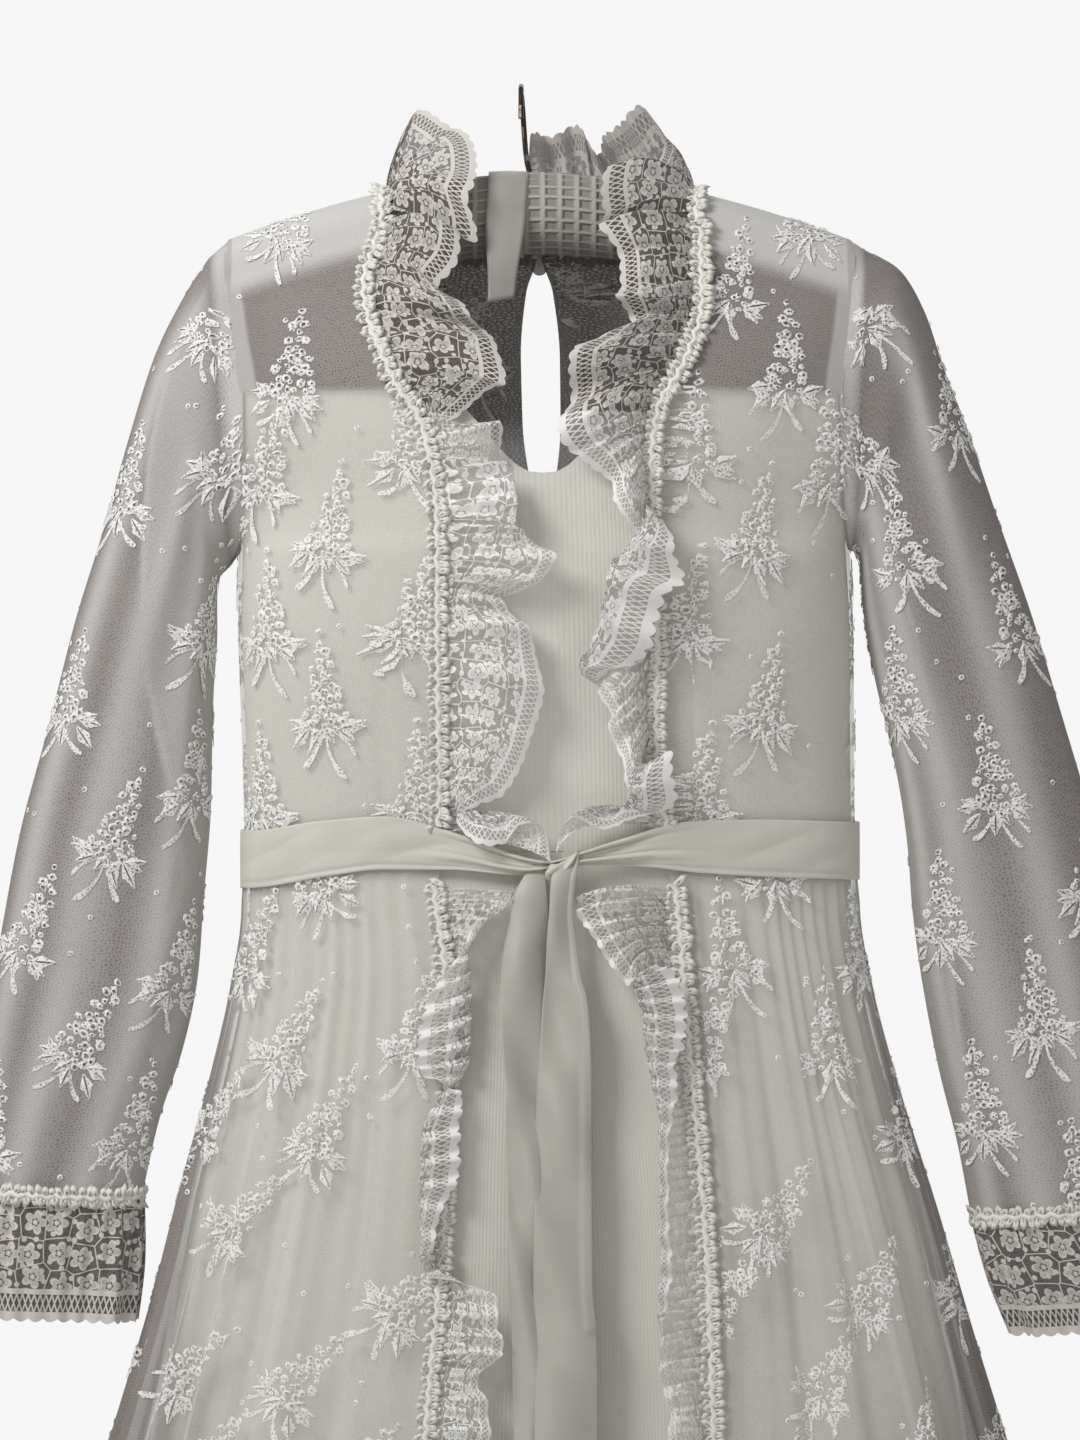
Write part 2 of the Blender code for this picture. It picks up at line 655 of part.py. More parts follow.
def armhole_loop(side):
    """The armhole's edge, from its top down the front and up the back, one point for each bodice row."""
    loops = {}
    for face in (FRONT, BACK):
        top_x = BODICE_COLUMNS[face][-1][0] * MM
        heights = bodice_heights(top_x, ridge(top_x, LACE_LIFT), LACE_LIFT)
        heights = heights[:WRAP_ROWS + 3 + FLAT_ROWS.index(-279.9) + 1]
        loops[face] = []
        for row, z in enumerate(heights):
            x = top_x if row < WRAP_ROWS else bodice_width(z) + LACE_LIFT
            y = 0 if row in (0, len(heights) - 1) else bodice_y(x, z, face, LACE_LIFT)
            closing = 1 - min(armhole_depth[face](z) / FLAT_ARMHOLE, 1) if row >= WRAP_ROWS else 0
            x += SLEEVE_GAP + UNDERARM_GAP * closing
            loops[face].append(Vector((middle(z) + side * x, face * y, z)))
    return loops[FRONT] + loops[BACK][-2:0:-1]


def laid_ring(row, flare, wave, waves, count):
    """A flattened ring between the outer and the inner fold of a laid tube."""
    outer = Vector((row[0] * MM, 0, row[1] * MM))
    inner = Vector((row[2] * MM, 0, row[3] * MM))
    centre = (outer + inner) / 2
    reach = (outer - inner) / 2
    points = []
    for number in range(count):
        angle = 2 * math.pi * number / count
        ripple = flare + wave * (0.5 - 0.5 * math.cos(2 * math.pi * waves * number / count))
        across = math.copysign(abs(math.cos(angle)) ** 0.9, math.cos(angle))
        deep = math.copysign(abs(math.sin(angle)) ** 0.9, math.sin(angle))
        points.append(centre + reach * (1 + ripple / reach.length) * across
                      + Vector((0, -(row[4] * MM + ripple) * deep, 0)))
    return points


def sleeve(side):
    rows = [armhole_loop(side)]
    table = SLEEVE[side]
    for number, row in enumerate(table):
        part = number / (len(table) - 1)
        depth = SLEEVE_PLEAT_DEPTH * ease(part * 3) * ease((1 - part) * 4)
        rows.append(laid_ring(row, 0, depth, SLEEVE_PLEATS, len(rows[0])))
    centre_line = smooth_curve([(row[1] + row[3], (row[0] + row[2]) / 2) for row in table])
    return sheet(f"sleeve_{SIDE_NAMES[side]}", rows, CLOTH, "lace",
                 lambda point: Vector((point.x - centre_line(2 * point.z), point.y * 2, 0)), closed=True)


def cuff(side):
    """Gathered ruffle below the sleeve's end, and the gimp that covers the join."""
    last = SLEEVE[side][-1]
    outer = Vector((last[0], 0, last[1]))
    inner = Vector((last[2], 0, last[3]))
    down = Vector((side * CUFF_LEAN[side], 0, -1)).normalized()

    def moved(distance):
        start, end = outer + down * distance, inner + down * distance
        return (start.x, start.z, end.x, end.z, last[4])

    rows = [laid_ring(moved(distance), flare * MM, wave * MM, CUFF_WAVES, CUFF_WAVES * COLUMNS_PER_FOLD)
            for distance, flare, wave in CUFF_RUFFLE]
    middle_x = (last[0] + last[2]) / 2 * MM

    def outward(point):
        return Vector((point.x - middle_x, point.y * 2, 0))

    sheet(f"ruffle_cuff_{SIDE_NAMES[side]}", rows, CLOTH, "ruffle", outward, closed=True)
    gimp = [laid_ring(moved(distance), CUFF_BRAID_LIFT, 0, 1, CUFF_BRAID_COLUMNS)
            for distance in (-5.5, 5.5)]
    sheet(f"braid_cuff_{SIDE_NAMES[side]}", gimp, BRAID_WALL, "braid", outward, closed=True)


def waist_half_width(z):
    return bodice_width(z) if z > WAIST_Z else lace_skirt["width"](z)


def waist_depth(z, face):
    return bodice_depth[face](z) if z > WAIST_Z else lace_skirt["depth"][face](z)


def belt():
    """Ribbon band round the waist, just clear of the lace."""
    degrees = [column[1] for column in BODICE_COLUMNS[BACK]]
    rows = []
    for z in (BELT_TOP_Z, WAIST_Z, BELT_BOTTOM_Z):
        row = []
        for face, turn in ((FRONT, RIGHT), (BACK, LEFT)):
            quarter = [(turn, value) for value in reversed(degrees)] + [(-turn, value) for value in degrees[1:-1]]
            for side, value in quarter:
                across, deep = section(math.radians(value))
                row.append(Vector((middle(z) + side * (waist_half_width(z) + BELT_LIFT) * across,
                                   face * (waist_depth(z, face) + BELT_LIFT) * deep, z)))
        rows.append(row)
    return sheet("belt_band", rows, SATIN, "satin", from_middle, closed=True)


def belt_front_y(x):
    offset = abs(x - middle(WAIST_Z))
    width = bodice_width(WAIST_Z) + BELT_LIFT
    return -(bodice_depth[FRONT](WAIST_Z) + BELT_LIFT) * section(edge_angle(offset, width))[1] - SATIN


def knot():
    bpy.ops.mesh.primitive_uv_sphere_add(segments=12, ring_count=8, radius=0.5)
    ball = bpy.context.object
    ball.name = "belt_knot"
    dress.objects.link(ball)
    for collection in list(ball.users_collection):
        if collection != dress:
            collection.objects.unlink(ball)
    back = belt_front_y(KNOT[0]) - 0.6 * MM
    for vertex in ball.data.vertices:
        vertex.co.x = vertex.co.x * KNOT_SIZE[0] + KNOT[0]
        vertex.co.y = vertex.co.y * KNOT_SIZE[1] + back - KNOT_SIZE[1] / 2
        vertex.co.z = vertex.co.z * KNOT_SIZE[2] + KNOT[1]
    ball.data.shade_smooth()
    ball.data.materials.append(material_named("belt_knot_material", "satin"))


def tail(side):
    rows = []
    table = TAILS[side]
    for number, (height, left, right) in enumerate(table):
        z = height * MM
        row = []
        for part in (0, 0.33, 0.67, 1):
            slant = 8 * MM * part if number == len(table) - 1 else 0
            x = (left + (right - left) * part) * MM
            bow = 2.5 * MM * math.sin(math.pi * part) * ease(number / 2)
            y = front_y(x - middle(z), z, 0) - TAIL_LIFT - bow
            row.append(Vector((x, y, z + slant)))
        rows.append(row)
    return sheet(f"belt_tail_{SIDE_NAMES[side]}", rows, SATIN, "satin", towards_viewer)


def round_bar():
    """Padded bar: rings along a drooping line, thinner at both ends."""
    count = 21
    stations = [BAR_HALF_LENGTH * math.sin(math.pi / 2 * (2 * number / (count - 1) - 1)) for number in range(count)]
    net = bmesh.new()
    rings = []
    for x in stations:
        radius = bar_radius(abs(x))
        closing = (BAR_HALF_LENGTH - abs(x)) / (14 * MM)
        radius *= math.sqrt(max(1 - (1 - min(closing, 1)) ** 2, 0.04))
        centre = Vector((middle(-92 * MM) + x, 0, bar_top(x) - bar_radius(abs(x))))
        rings.append([net.verts.new(centre + Vector((0, math.sin(turn) * radius, math.cos(turn) * radius)))
                      for turn in (2 * math.pi * side / BAR_SIDES for side in range(BAR_SIDES))])
    for before, after in zip(rings, rings[1:]):
        for number in range(BAR_SIDES):
            following = (number + 1) % BAR_SIDES
            net.faces.new((before[number], before[following], after[following], after[number]))
    net.faces.new(rings[0][::-1])
    net.faces.new(rings[-1])
    bmesh.ops.recalc_face_normals(net, faces=net.faces)
    mesh = bpy.data.meshes.new("hanger_bar")
    net.to_mesh(mesh)
    net.free()
    mesh.shade_smooth()
    return place("hanger_bar", mesh, "pad")


def wire(name, points, radius, kind):
    """A bent wire with filled caps, welded so that it is one closed mesh."""
    line = bpy.data.curves.new(name, "CURVE")
    line.dimensions = "3D"
    spline = line.splines.new("POLY")
    spline.points.add(len(points) - 1)
    for slot, point in zip(spline.points, points):
        slot.co = (*point, 1)
    line.bevel_depth = radius
    line.bevel_resolution = 2
    line.use_fill_caps = True
    piece = bpy.data.objects.new(name, line)
    dress.objects.link(piece)
    line.materials.append(material_named(name + "_material", kind))
    return piece


def hook():
    """Steel hook, seen edge on from the front: a question mark in the YZ plane."""
    foot_z = bar_top(HOOK_STEM_X - middle(0)) + SEAM
    points = [Vector((HOOK_STEM_X, 0, foot_z)), Vector((HOOK_STEM_X - 1.5 * MM, 0, foot_z + 6 * MM))]
    centre_z = HOOK_TOP_Z - HOOK_WIRE - HOOK_BEND
    for degrees in range(HOOK_START, HOOK_END, HOOK_STEP):
        angle = math.radians(degrees)
        lean = HOOK_STEM_X * 0.6 * max(1 - (degrees - HOOK_START) / 120, 0)
        points.append(Vector((lean, HOOK_BEND * math.cos(angle), centre_z + HOOK_BEND * math.sin(angle))))
    return wire("hanger_hook", points, HOOK_WIRE, "steel")


def bar_ribbon():
    """Ribbon loop round the bar, with its end hanging in front."""
    off_middle = abs(RIBBON_X - middle(0))
    radius = bar_radius(off_middle) / math.cos(math.pi / BAR_SIDES) + RIBBON_CLEARANCE
    centre_z = bar_top(off_middle) - bar_radius(0)
    rows = []
    for degrees in range(-250, 91, 15):
        angle = math.radians(degrees)
        y, z = -radius * math.sin(angle), centre_z + radius * math.cos(angle)
        rows.append([Vector((RIBBON_X + across * RIBBON_HALF_WIDTH, y, z)) for across in (-1, 0, 1)])
    for down, narrow in RIBBON_END:
        y, z = -radius - down * RIBBON_LEAN * MM, centre_z - down * MM
        rows.append([Vector((RIBBON_X + across * narrow * RIBBON_HALF_WIDTH, y, z)) for across in (-1, 0, 1)])
    wrap_end = centre_z - bar_radius(0)
    return sheet("hanger_ribbon", rows, CLOTH, "satin",
                 lambda point: Vector((0, point.y, point.z - centre_z if point.z > wrap_end else 0)))


def neck_button():
    """Button that closes the keyhole at the neck, on the back."""
    bpy.ops.mesh.primitive_cylinder_add(vertices=20, radius=BUTTON_RADIUS, depth=BUTTON_HEIGHT)
    button = bpy.context.object
    button.name = "neck_button"
    dress.objects.link(button)
    for collection in list(button.users_collection):
        if collection != dress:
            collection.objects.unlink(button)
    z = NECK_BACK_Z - BUTTON_DROP
    y = bodice_y(0, z, BACK, 0) + BRAID_LIFT + BRAID_WALL + BUTTON_CLEARANCE + BUTTON_HEIGHT / 2
    for vertex in button.data.vertices:
        x, up = vertex.co.x, vertex.co.z
        vertex.co = Vector((x + middle(z), y + up, z + vertex.co.y))
    button.data.flip_normals()
    button.data.materials.append(material_named("neck_button_material", "button"))


def braid_heights():
    """Rows of the lace panels that the edge braid follows, above and below the belt."""
    rows = lace_rows()[WRAP_ROWS - 1:]
    above = [z for z in rows if z > BELT_TOP_Z + SEAM]
    below = [z for z in rows if z < BELT_BOTTOM_Z - SEAM]
    return above + [BELT_TOP_Z + SEAM], [BELT_BOTTOM_Z - SEAM] + below


clear_scene()
dress = bpy.data.collections.new("wedding_dress")
bpy.context.scene.collection.children.link(dress)
round_bar()
hook()
bar_ribbon()
for face in (FRONT, BACK):
    lining_bodice(face)
    lining_skirt_panel(face)
    for side in (LEFT, RIGHT):
        lace_bodice_panel(side, face)
        lace_skirt_panel(side, face)
for side in (LEFT, RIGHT):
    name = SIDE_NAMES[side]
    sleeve(side)
    cuff(side)
    front_ruffle(f"ruffle_bodice_{name}", side, BODICE_RUFFLE[side])
    front_ruffle(f"ruffle_skirt_{name}", side, SKIRT_RUFFLE[side])
    above, below = braid_heights()
    edge_braid(f"braid_bodice_{name}", side, above)
    edge_braid(f"braid_skirt_{name}", side, below)
    tail(side)
neck_ruffle()
neck_braid()
neck_button()
belt()
knot()
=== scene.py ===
"""Lace wedding dress, under-dress and ribbon belt on a padded hanger. Metres, +Z up, front towards -Y."""

import math
import random
from bisect import bisect_right

import bmesh
import bpy
import numpy as np
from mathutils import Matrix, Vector


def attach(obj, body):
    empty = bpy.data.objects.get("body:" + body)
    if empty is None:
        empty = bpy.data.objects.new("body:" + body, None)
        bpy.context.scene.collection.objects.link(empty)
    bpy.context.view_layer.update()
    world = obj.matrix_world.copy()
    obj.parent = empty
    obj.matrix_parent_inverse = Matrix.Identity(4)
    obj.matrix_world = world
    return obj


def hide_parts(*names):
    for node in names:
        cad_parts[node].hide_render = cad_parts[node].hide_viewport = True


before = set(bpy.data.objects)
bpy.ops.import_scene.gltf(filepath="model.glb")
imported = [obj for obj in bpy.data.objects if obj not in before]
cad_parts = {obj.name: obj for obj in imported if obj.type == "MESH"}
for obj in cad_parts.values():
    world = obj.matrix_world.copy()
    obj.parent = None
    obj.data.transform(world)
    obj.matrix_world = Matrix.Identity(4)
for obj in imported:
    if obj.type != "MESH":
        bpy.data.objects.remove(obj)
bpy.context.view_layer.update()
random.seed(7)

# Padded hanger: a wooden bar that droops to both ends, under wadding and a sewn cover of cotton waffle. The
# cover is a tube drawn over the bar, with its seam along the top, so it bulges a little between stitches.
MM = 0.001


def smooth_curve(points):
    """A function through (at, value) points in millimetres that never overshoots them."""
    points = sorted(points)
    ats = [point[0] * MM for point in points]
    values = [point[1] * MM for point in points]
    spans = [after - before for before, after in zip(ats, ats[1:])]
    rates = [(after - before) / span for before, after, span in zip(values, values[1:], spans)]
    slopes = [rates[0]]
    for before, after in zip(rates, rates[1:]):
        slopes.append(0 if before * after <= 0 else 2 * before * after / (before + after))
    slopes.append(rates[-1])

    def value_at(at):
        at = min(max(at, ats[0]), ats[-1])
        index = min(bisect_right(ats, at) - 1, len(spans) - 1)
        span = spans[index]
        part = (at - ats[index]) / span
        rise = part * part * (3 - 2 * part)
        bend = part * (1 - part)
        return (values[index] * (1 - rise) + values[index + 1] * rise
                + span * bend * ((1 - part) * slopes[index] - part * slopes[index + 1]))

    return value_at


def ease(part):
    part = min(max(part, 0), 1)
    return part * part * (3 - 2 * part)


def rgb(code):
    """An sRGB hex colour as linear values, with full alpha."""
    values = [int(code[at:at + 2], 16) / 255 for at in (1, 3, 5)]
    return [value / 12.92 if value <= 0.04045 else ((value + 0.055) / 1.055) ** 2.4 for value in values] + [1]


def join(tree, made, inputs):
    """Sets a node's inputs to values, or joins them to other nodes' outputs."""
    for slot, value in dict(inputs).items():
        if isinstance(value, bpy.types.Node):
            value = value.outputs[0]
        if isinstance(value, bpy.types.NodeSocket):
            tree.links.new(value, made.inputs[slot])
        else:
            made.inputs[slot].default_value = value


def node(tree, kind, inputs=(), **settings):
    """A new node with its settings and its inputs."""
    made = tree.nodes.new("ShaderNode" + kind)
    for name, value in settings.items():
        setattr(made, name, value)
    join(tree, made, inputs)
    return made


def cloth_material(name, colour, roughness, sheen=0.0):
    """A material with its tree and its shader, from one colour and one roughness."""
    material = bpy.data.materials.new(name)
    material.use_nodes = True
    shader = material.node_tree.nodes["Principled BSDF"]
    join(material.node_tree, shader, {"Base Color": rgb(colour), "Roughness": roughness,
                                      "Sheen Weight": sheen})
    return material, material.node_tree, shader


def cloth(name, columns, rows, place, outward, size):
    """A grid of cloth: place(across, down) gives each point, and its UVs are its cut size in metres."""
    bpy.ops.object.select_all(action="DESELECT")
    bpy.ops.mesh.primitive_grid_add(x_subdivisions=columns, y_subdivisions=rows, size=1, calc_uvs=True)
    piece = bpy.context.object
    piece.name = piece.data.name = name
    mesh = piece.data
    shares = [(vertex.co.x + 0.5, 0.5 - vertex.co.y) for vertex in mesh.vertices]
    for loop in mesh.loops:
        across, down = shares[loop.vertex_index]
        mesh.uv_layers[0].data[loop.index].uv = (across * size[0], down * size[1])
    for vertex, (across, down) in zip(mesh.vertices, shares):
        vertex.co = place(across, down)
    facing = sum(face.normal.dot(outward(face.center)) * face.area for face in mesh.polygons)
    if facing < 0:
        mesh.flip_normals()
    mesh.shade_smooth()
    return piece


def finish_piece(piece, material, slot, *nodes):
    piece.data.materials.clear()
    piece.data.materials.append(material)
    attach(piece, "root")
    if nodes:
        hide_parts(*nodes)
    return piece


def mend(mesh, merge=True, fill=False, turn=True):
    """Merges the repeated points of a seam, fills holes, and turns faces outwards."""
    net = bmesh.new()
    net.from_mesh(mesh)
    if merge:
        bmesh.ops.remove_doubles(net, verts=net.verts, dist=0.02 * MM)
    if fill:
        bmesh.ops.holes_fill(net, edges=net.edges)
    if turn:
        bmesh.ops.recalc_face_normals(net, faces=net.faces)
    net.to_mesh(mesh)
    net.free()


middle = smooth_curve([(-1494, 23), (-740, 22), (-623, 20), (-462, 17.5), (-280, 14), (-92, 11), (0, 11)])
bar_radius = smooth_curve([(0, 25.0), (60, 24.5), (100, 22.5), (140, 20.5), (184, 18.5)])
BAR_HALF_LENGTH = 184 * MM
BAR_TOP_Z, BAR_DROOP, BAR_DROOP_AT, BAR_DROOP_POWER = -50.4 * MM, 43.6 * MM, 190 * MM, 1.68
BAR_X = middle(-92 * MM)
COVER_START, COVER_SEAM, END_ROUNDING = -2.4, -0.62, 14 * MM
WAFFLE = 7.2 * MM


def bar_top(x):
    return BAR_TOP_Z - BAR_DROOP * (abs(x) / BAR_DROOP_AT) ** BAR_DROOP_POWER


def bar_cover(across, down):
    x = BAR_HALF_LENGTH * math.sin(math.pi * (across - 0.5))
    turn = 2 * math.pi * down + COVER_START
    closing = min((BAR_HALF_LENGTH - abs(x)) / END_ROUNDING, 1)
    seam = 0.9 * MM * math.exp(-((turn - COVER_SEAM) / 0.05) ** 2)
    radius = (bar_radius(abs(x)) - seam) * math.sqrt(max(1 - (1 - closing) ** 2, 0))
    radius += 0.35 * MM * math.sin(x * 190) * math.sin(3 * turn + 60 * x) * closing
    return Vector((BAR_X + x, math.sin(turn) * radius,
                   bar_top(x) - bar_radius(abs(x)) + math.cos(turn) * radius))


bar = cloth("hanger_pad_cover", 230, 96, bar_cover,
            lambda point: Vector((0, point.y, point.z - bar_top(point.x - BAR_X) + bar_radius(0))),
            (0.40, 0.157))
mend(bar.data, turn=False)
# Cotton waffle: raised threads round square pits, matt, with a soft nap. It is painted grey, darker in the
# pits: painted shade, for the shadow the cover lies in and in its pits.
waffle, tree, shader = cloth_material("cotton_waffle", "#EEECE8", 0.92, 0.25)
uv = node(tree, "UVMap")
cells = node(tree, "VectorMath", {0: uv, 1: (1 / WAFFLE, 1 / WAFFLE, 1)}, operation="MULTIPLY")
inside = node(tree, "VectorMath", {0: cells}, operation="FRACTION")
centred = node(tree, "VectorMath", {0: inside, 1: (0.5, 0.5, 0)}, operation="SUBTRACT")
away = node(tree, "SeparateXYZ", {0: node(tree, "VectorMath", {0: centred}, operation="ABSOLUTE")})
rib = node(tree, "Math", {0: away.outputs[0], 1: away.outputs[1]}, operation="MAXIMUM")
height = node(tree, "MapRange", {0: rib, 1: 0.2, 2: 0.44, 3: 0.0, 4: 1.0}, interpolation_type="SMOOTHSTEP")
thread = node(tree, "TexNoise", {"Vector": uv, "Scale": 900.0, "Detail": 3.0})
relief = node(tree, "Math", {0: thread, 1: 0.16, 2: height}, operation="MULTIPLY_ADD")
bump = node(tree, "Bump", {"Height": relief, "Strength": 1.0, "Distance": 0.0018})
# Painted shade: greyed ridges and darker pits, far below the white of the cotton.
shade = node(tree, "MixRGB", {0: height, 1: rgb("#948F88"), 2: rgb("#B7B3AD")})
join(tree, shader, {"Base Color": shade, "Normal": bump})
finish_piece(bar, waffle, "pad", "hanger_bar")

# Hook: one cold-bent steel wire, dark with age, screwed into the middle of the bar. The modelled wire is
# already the right shape, so it keeps its form and gets only its material here.
steel, tree, shader = cloth_material("aged_steel_wire", "#4A4038", 0.34)
shader.inputs["Metallic"].default_value = 1.0
grain = node(tree, "TexNoise", {"Vector": node(tree, "TexCoord").outputs["Object"], "Scale": 300.0,
                                "Detail": 4.0})
worn = node(tree, "MapRange", {0: grain, 1: 0.3, 2: 0.7, 3: 0.25, 4: 0.5})
join(tree, shader, {"Roughness": worn})
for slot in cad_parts["hanger_hook"].material_slots:
    slot.material = steel

# Ribbon loop of the hanger: narrow ivory satin wound over the bar, its end left to hang in front. Satin
# ribbon is woven with a floated face, so it is smooth, and shows fine ribs across where it bends.


def satin_material(name, colour, lighter, ribs):
    material, tree, shader = cloth_material(name, colour, 0.42, 0.15)
    uv = node(tree, "UVMap")
    rib = node(tree, "TexWave", {"Vector": uv, "Scale": ribs, "Distortion": 0.4, "Detail": 1.0},
               wave_type="BANDS", bands_direction="Y")
    cloud = node(tree, "TexNoise", {"Vector": uv, "Scale": 28.0, "Detail": 2.0})
    tone = node(tree, "MixRGB", {0: cloud, 1: rgb(colour), 2: rgb(lighter)})
    gloss = node(tree, "MapRange", {0: cloud, 1: 0.3, 2: 0.7, 3: 0.36, 4: 0.5})
    bump = node(tree, "Bump", {"Height": rib, "Strength": 0.25, "Distance": 0.0002})
    join(tree, shader, {"Base Color": tone, "Roughness": gloss, "Normal": bump})
    return material


def thicken(piece):
    """Gives ribbon its thickness on its outer side, so that cut edges catch the light."""
    bpy.context.view_layer.objects.active = piece
    solidify = piece.modifiers.new("Wall", "SOLIDIFY")
    solidify.thickness = RIBBON_WALL
    solidify.offset = 1
    bpy.ops.object.modifier_apply(modifier="Wall")


RIBBON_X, RIBBON_HALF_WIDTH, RIBBON_WALL = -9 * MM, 12 * MM, 0.4 * MM
LOOP_TURN, LOOP_END = math.radians(340), 50 * MM


def hanger_loop(across, down):
    radius = bar_radius(20 * MM) + 0.9 * MM
    centre_z = bar_top(20 * MM) - bar_radius(20 * MM)
    wound = LOOP_TURN * radius
    along = down * (wound + LOOP_END)
    side = (across - 0.5) * 2 * RIBBON_HALF_WIDTH
    crown = 0.5 * MM * math.cos(math.pi * (across - 0.5))
    if along < wound:
        turn = math.pi / 2 - LOOP_TURN + along / radius
        return Vector((RIBBON_X + side + 1.5 * MM * math.cos(turn), -(radius + crown) * math.sin(turn),
                       centre_z + (radius + crown) * math.cos(turn)))
    drop = along - wound
    narrow = 1 - 0.32 * ease(drop / LOOP_END)
    slant = -0.09 * drop + side * 0.12 * (drop / LOOP_END)
    return Vector((RIBBON_X + side * narrow - 0.06 * drop,
                   -radius - crown - drop * 0.1 - 2 * MM * math.sin(drop * 90) * across,
                   centre_z - drop + slant))


loop = cloth("hanger_ribbon_loop", 10, 70, hanger_loop, lambda point: Vector((0, point.y, 0)), (0.024, 0.20))
thicken(loop)
# The loop's satin is painted a grey taupe, darker than the belt's: painted shade, for the shadow under the
# ruffles where it hangs.
satin = satin_material("ivory_satin_ribbon_painted_shade", "#98938D", "#B2ADA7", 560.0)
finish_piece(loop, satin, "satin", "hanger_ribbon")

# Under-dress: opaque ivory crepe, cut as front and back bodice and front and back skirt, joined at the
# waist. The bodice is darted to the figure and straight across the top, with a dip in the middle of the
# front.
LEFT, RIGHT = -1, 1
FRONT, BACK = -1, 1
SEAM = 0.3 * MM
LACE_LIFT = 2.4 * MM
SECTION_POWER = 2.4
FLAT_ARMHOLE = 30 * MM
HANG_REACH, HANG_POWER = 100 * MM, 1.6
YOKE_FLAT_Z, WAIST_Z, LINING_TOP_Z = -191 * MM, -462 * MM, -186 * MM
LINING_HEM_Z, LACE_HEM_Z = -1455 * MM, -1494 * MM
BODICE = [
    # height, half width, front depth, back depth, armhole depth in front and at the back
    (-60, 191, 34, 30, 22, 22), (-94, 189, 40, 32, 24, 24), (-125, 187, 46, 36, 32, 30),
    (-149, 184, 51, 40, 37, 34), (-191, 178, 57, 44, 38, 34), (-235, 179, 61, 46, 31, 28),
    (-262, 181, 62, 47, 19, 17),
    (-275, 182.5, 62, 47, 8, 8), (-280, 183, 62, 47, 0, 0), (-330, 184.5, 61, 47, 0, 0),
    (-400, 183.5, 53, 43, 0, 0), (-462, 183, 46, 40, 0, 0),
]
LACE_SKIRT = [
    # height, half width, front depth, back depth, depth of the folds
    (-462, 183, 46, 40, 0), (-500, 183.5, 47, 41, 0.8), (-545, 190, 51, 46, 2), (-600, 202, 58, 53, 4),
    (-680, 223, 67, 61, 7), (-740, 238, 75, 69, 9), (-900, 283, 92, 84, 14), (-1080, 330, 108, 99, 17),
    (-1280, 384, 125, 114, 19), (-1455, 430, 138, 127, 21), (-1494, 441, 141, 130, 21),
]
LINING_SKIRT = [
    # height, half width, front depth, back depth, depth of the folds
    (-462, 183, 46, 40, 0), (-500, 183.5, 47, 41, 0), (-545, 188, 50, 45, 0.3), (-600, 199, 56, 51, 1),
    (-680, 219, 64, 58, 2), (-780, 236, 72, 66, 3), (-900, 253, 80, 73, 4), (-1080, 279, 91, 84, 5),
    (-1280, 307, 103, 96, 6), (-1455, 330, 112, 105, 6),
]


def column(rows, number):
    return smooth_curve([(row[0], row[number]) for row in rows])


def skirt_rows(table):
    return {"width": column(table, 1), "depth": {FRONT: column(table, 2), BACK: column(table, 3)},
            "fold": column(table, 4)}


bodice_width = column(BODICE, 1)
bodice_depth = {FRONT: column(BODICE, 2), BACK: column(BODICE, 3)}
armhole_depth = {FRONT: column(BODICE, 4), BACK: column(BODICE, 5)}
lace_skirt = skirt_rows(LACE_SKIRT)
lining_skirt = skirt_rows(LINING_SKIRT)


def shoulder_roll(x, lift):
    """Radius of the cloth's bend over the bar."""
    slope = BAR_DROOP * BAR_DROOP_POWER / BAR_DROOP_AT * (abs(x) / BAR_DROOP_AT) ** (BAR_DROOP_POWER - 1)
    return bar_radius(abs(x)) * math.hypot(1, slope) + 0.9 * MM + lift - LACE_LIFT


def ridge(x, lift):
    return bar_top(x) - bar_radius(abs(x)) + shoulder_roll(x, lift)


def edge_angle(x, half_width):
    return math.acos(min(max(x / half_width, 0), 1) ** (SECTION_POWER / 2))


def section(angle):
    return max(math.cos(angle), 0) ** (2 / SECTION_POWER), max(math.sin(angle), 0) ** (2 / SECTION_POWER)


def bodice_y(x, z, face, lift):
    """How far the bodice's cloth lies from the dress's mid plane."""
    half_width = bodice_width(z) + lift
    armhole = armhole_depth[face](z) * (1 + lift / armhole_depth[face](YOKE_FLAT_Z)) + SEAM / 2
    round_share = section(edge_angle(x, half_width))[1]
    flat_share = 1 - min(x / half_width, 1) ** 2
    share = round_share + (flat_share - round_share) * min(armhole / FLAT_ARMHOLE, 1)
    target = armhole + (bodice_depth[face](z) + lift - armhole) * share
    roll = shoulder_roll(x, lift)
    drop = ridge(x, lift) - z
    if drop < roll:
        return max(math.sqrt(max(roll ** 2 - (roll - drop) ** 2, 0)), SEAM / 2)
    return roll + (target - roll) * (1 - (1 - min((drop - roll) / HANG_REACH, 1)) ** HANG_POWER)


def skirt_point(angle, z, side, face, rows, lift):
    across, deep = section(angle)
    depth = rows["depth"][face](z) + lift
    return Vector((middle(z) + side * (rows["width"](z) + lift) * across,
                   face * max(depth * deep, SEAM / 2), z))


def from_middle(point):
    return Vector((point.x - middle(point.z), point.y * 3, 0))


def dart(x, z, reach):
    """The pinch along a sewn dart, deepest at the waist."""
    run = ease((-0.285 - z) / 0.05) * ease((z + 0.47) / 0.03 + 1)
    return -reach * run * math.exp(-(x / (2.2 * MM)) ** 2)


DARTS = {LEFT: 99 * MM, RIGHT: 87 * MM}
NECKLINE_DIP = 50 * MM


def neckline_dip(x, face):
    """How far the crepe's top edge lies below its ends: a shallow point in front, straight behind."""
    return NECKLINE_DIP * (ease((64 * MM - x) / (60 * MM)) if face == FRONT else 1)


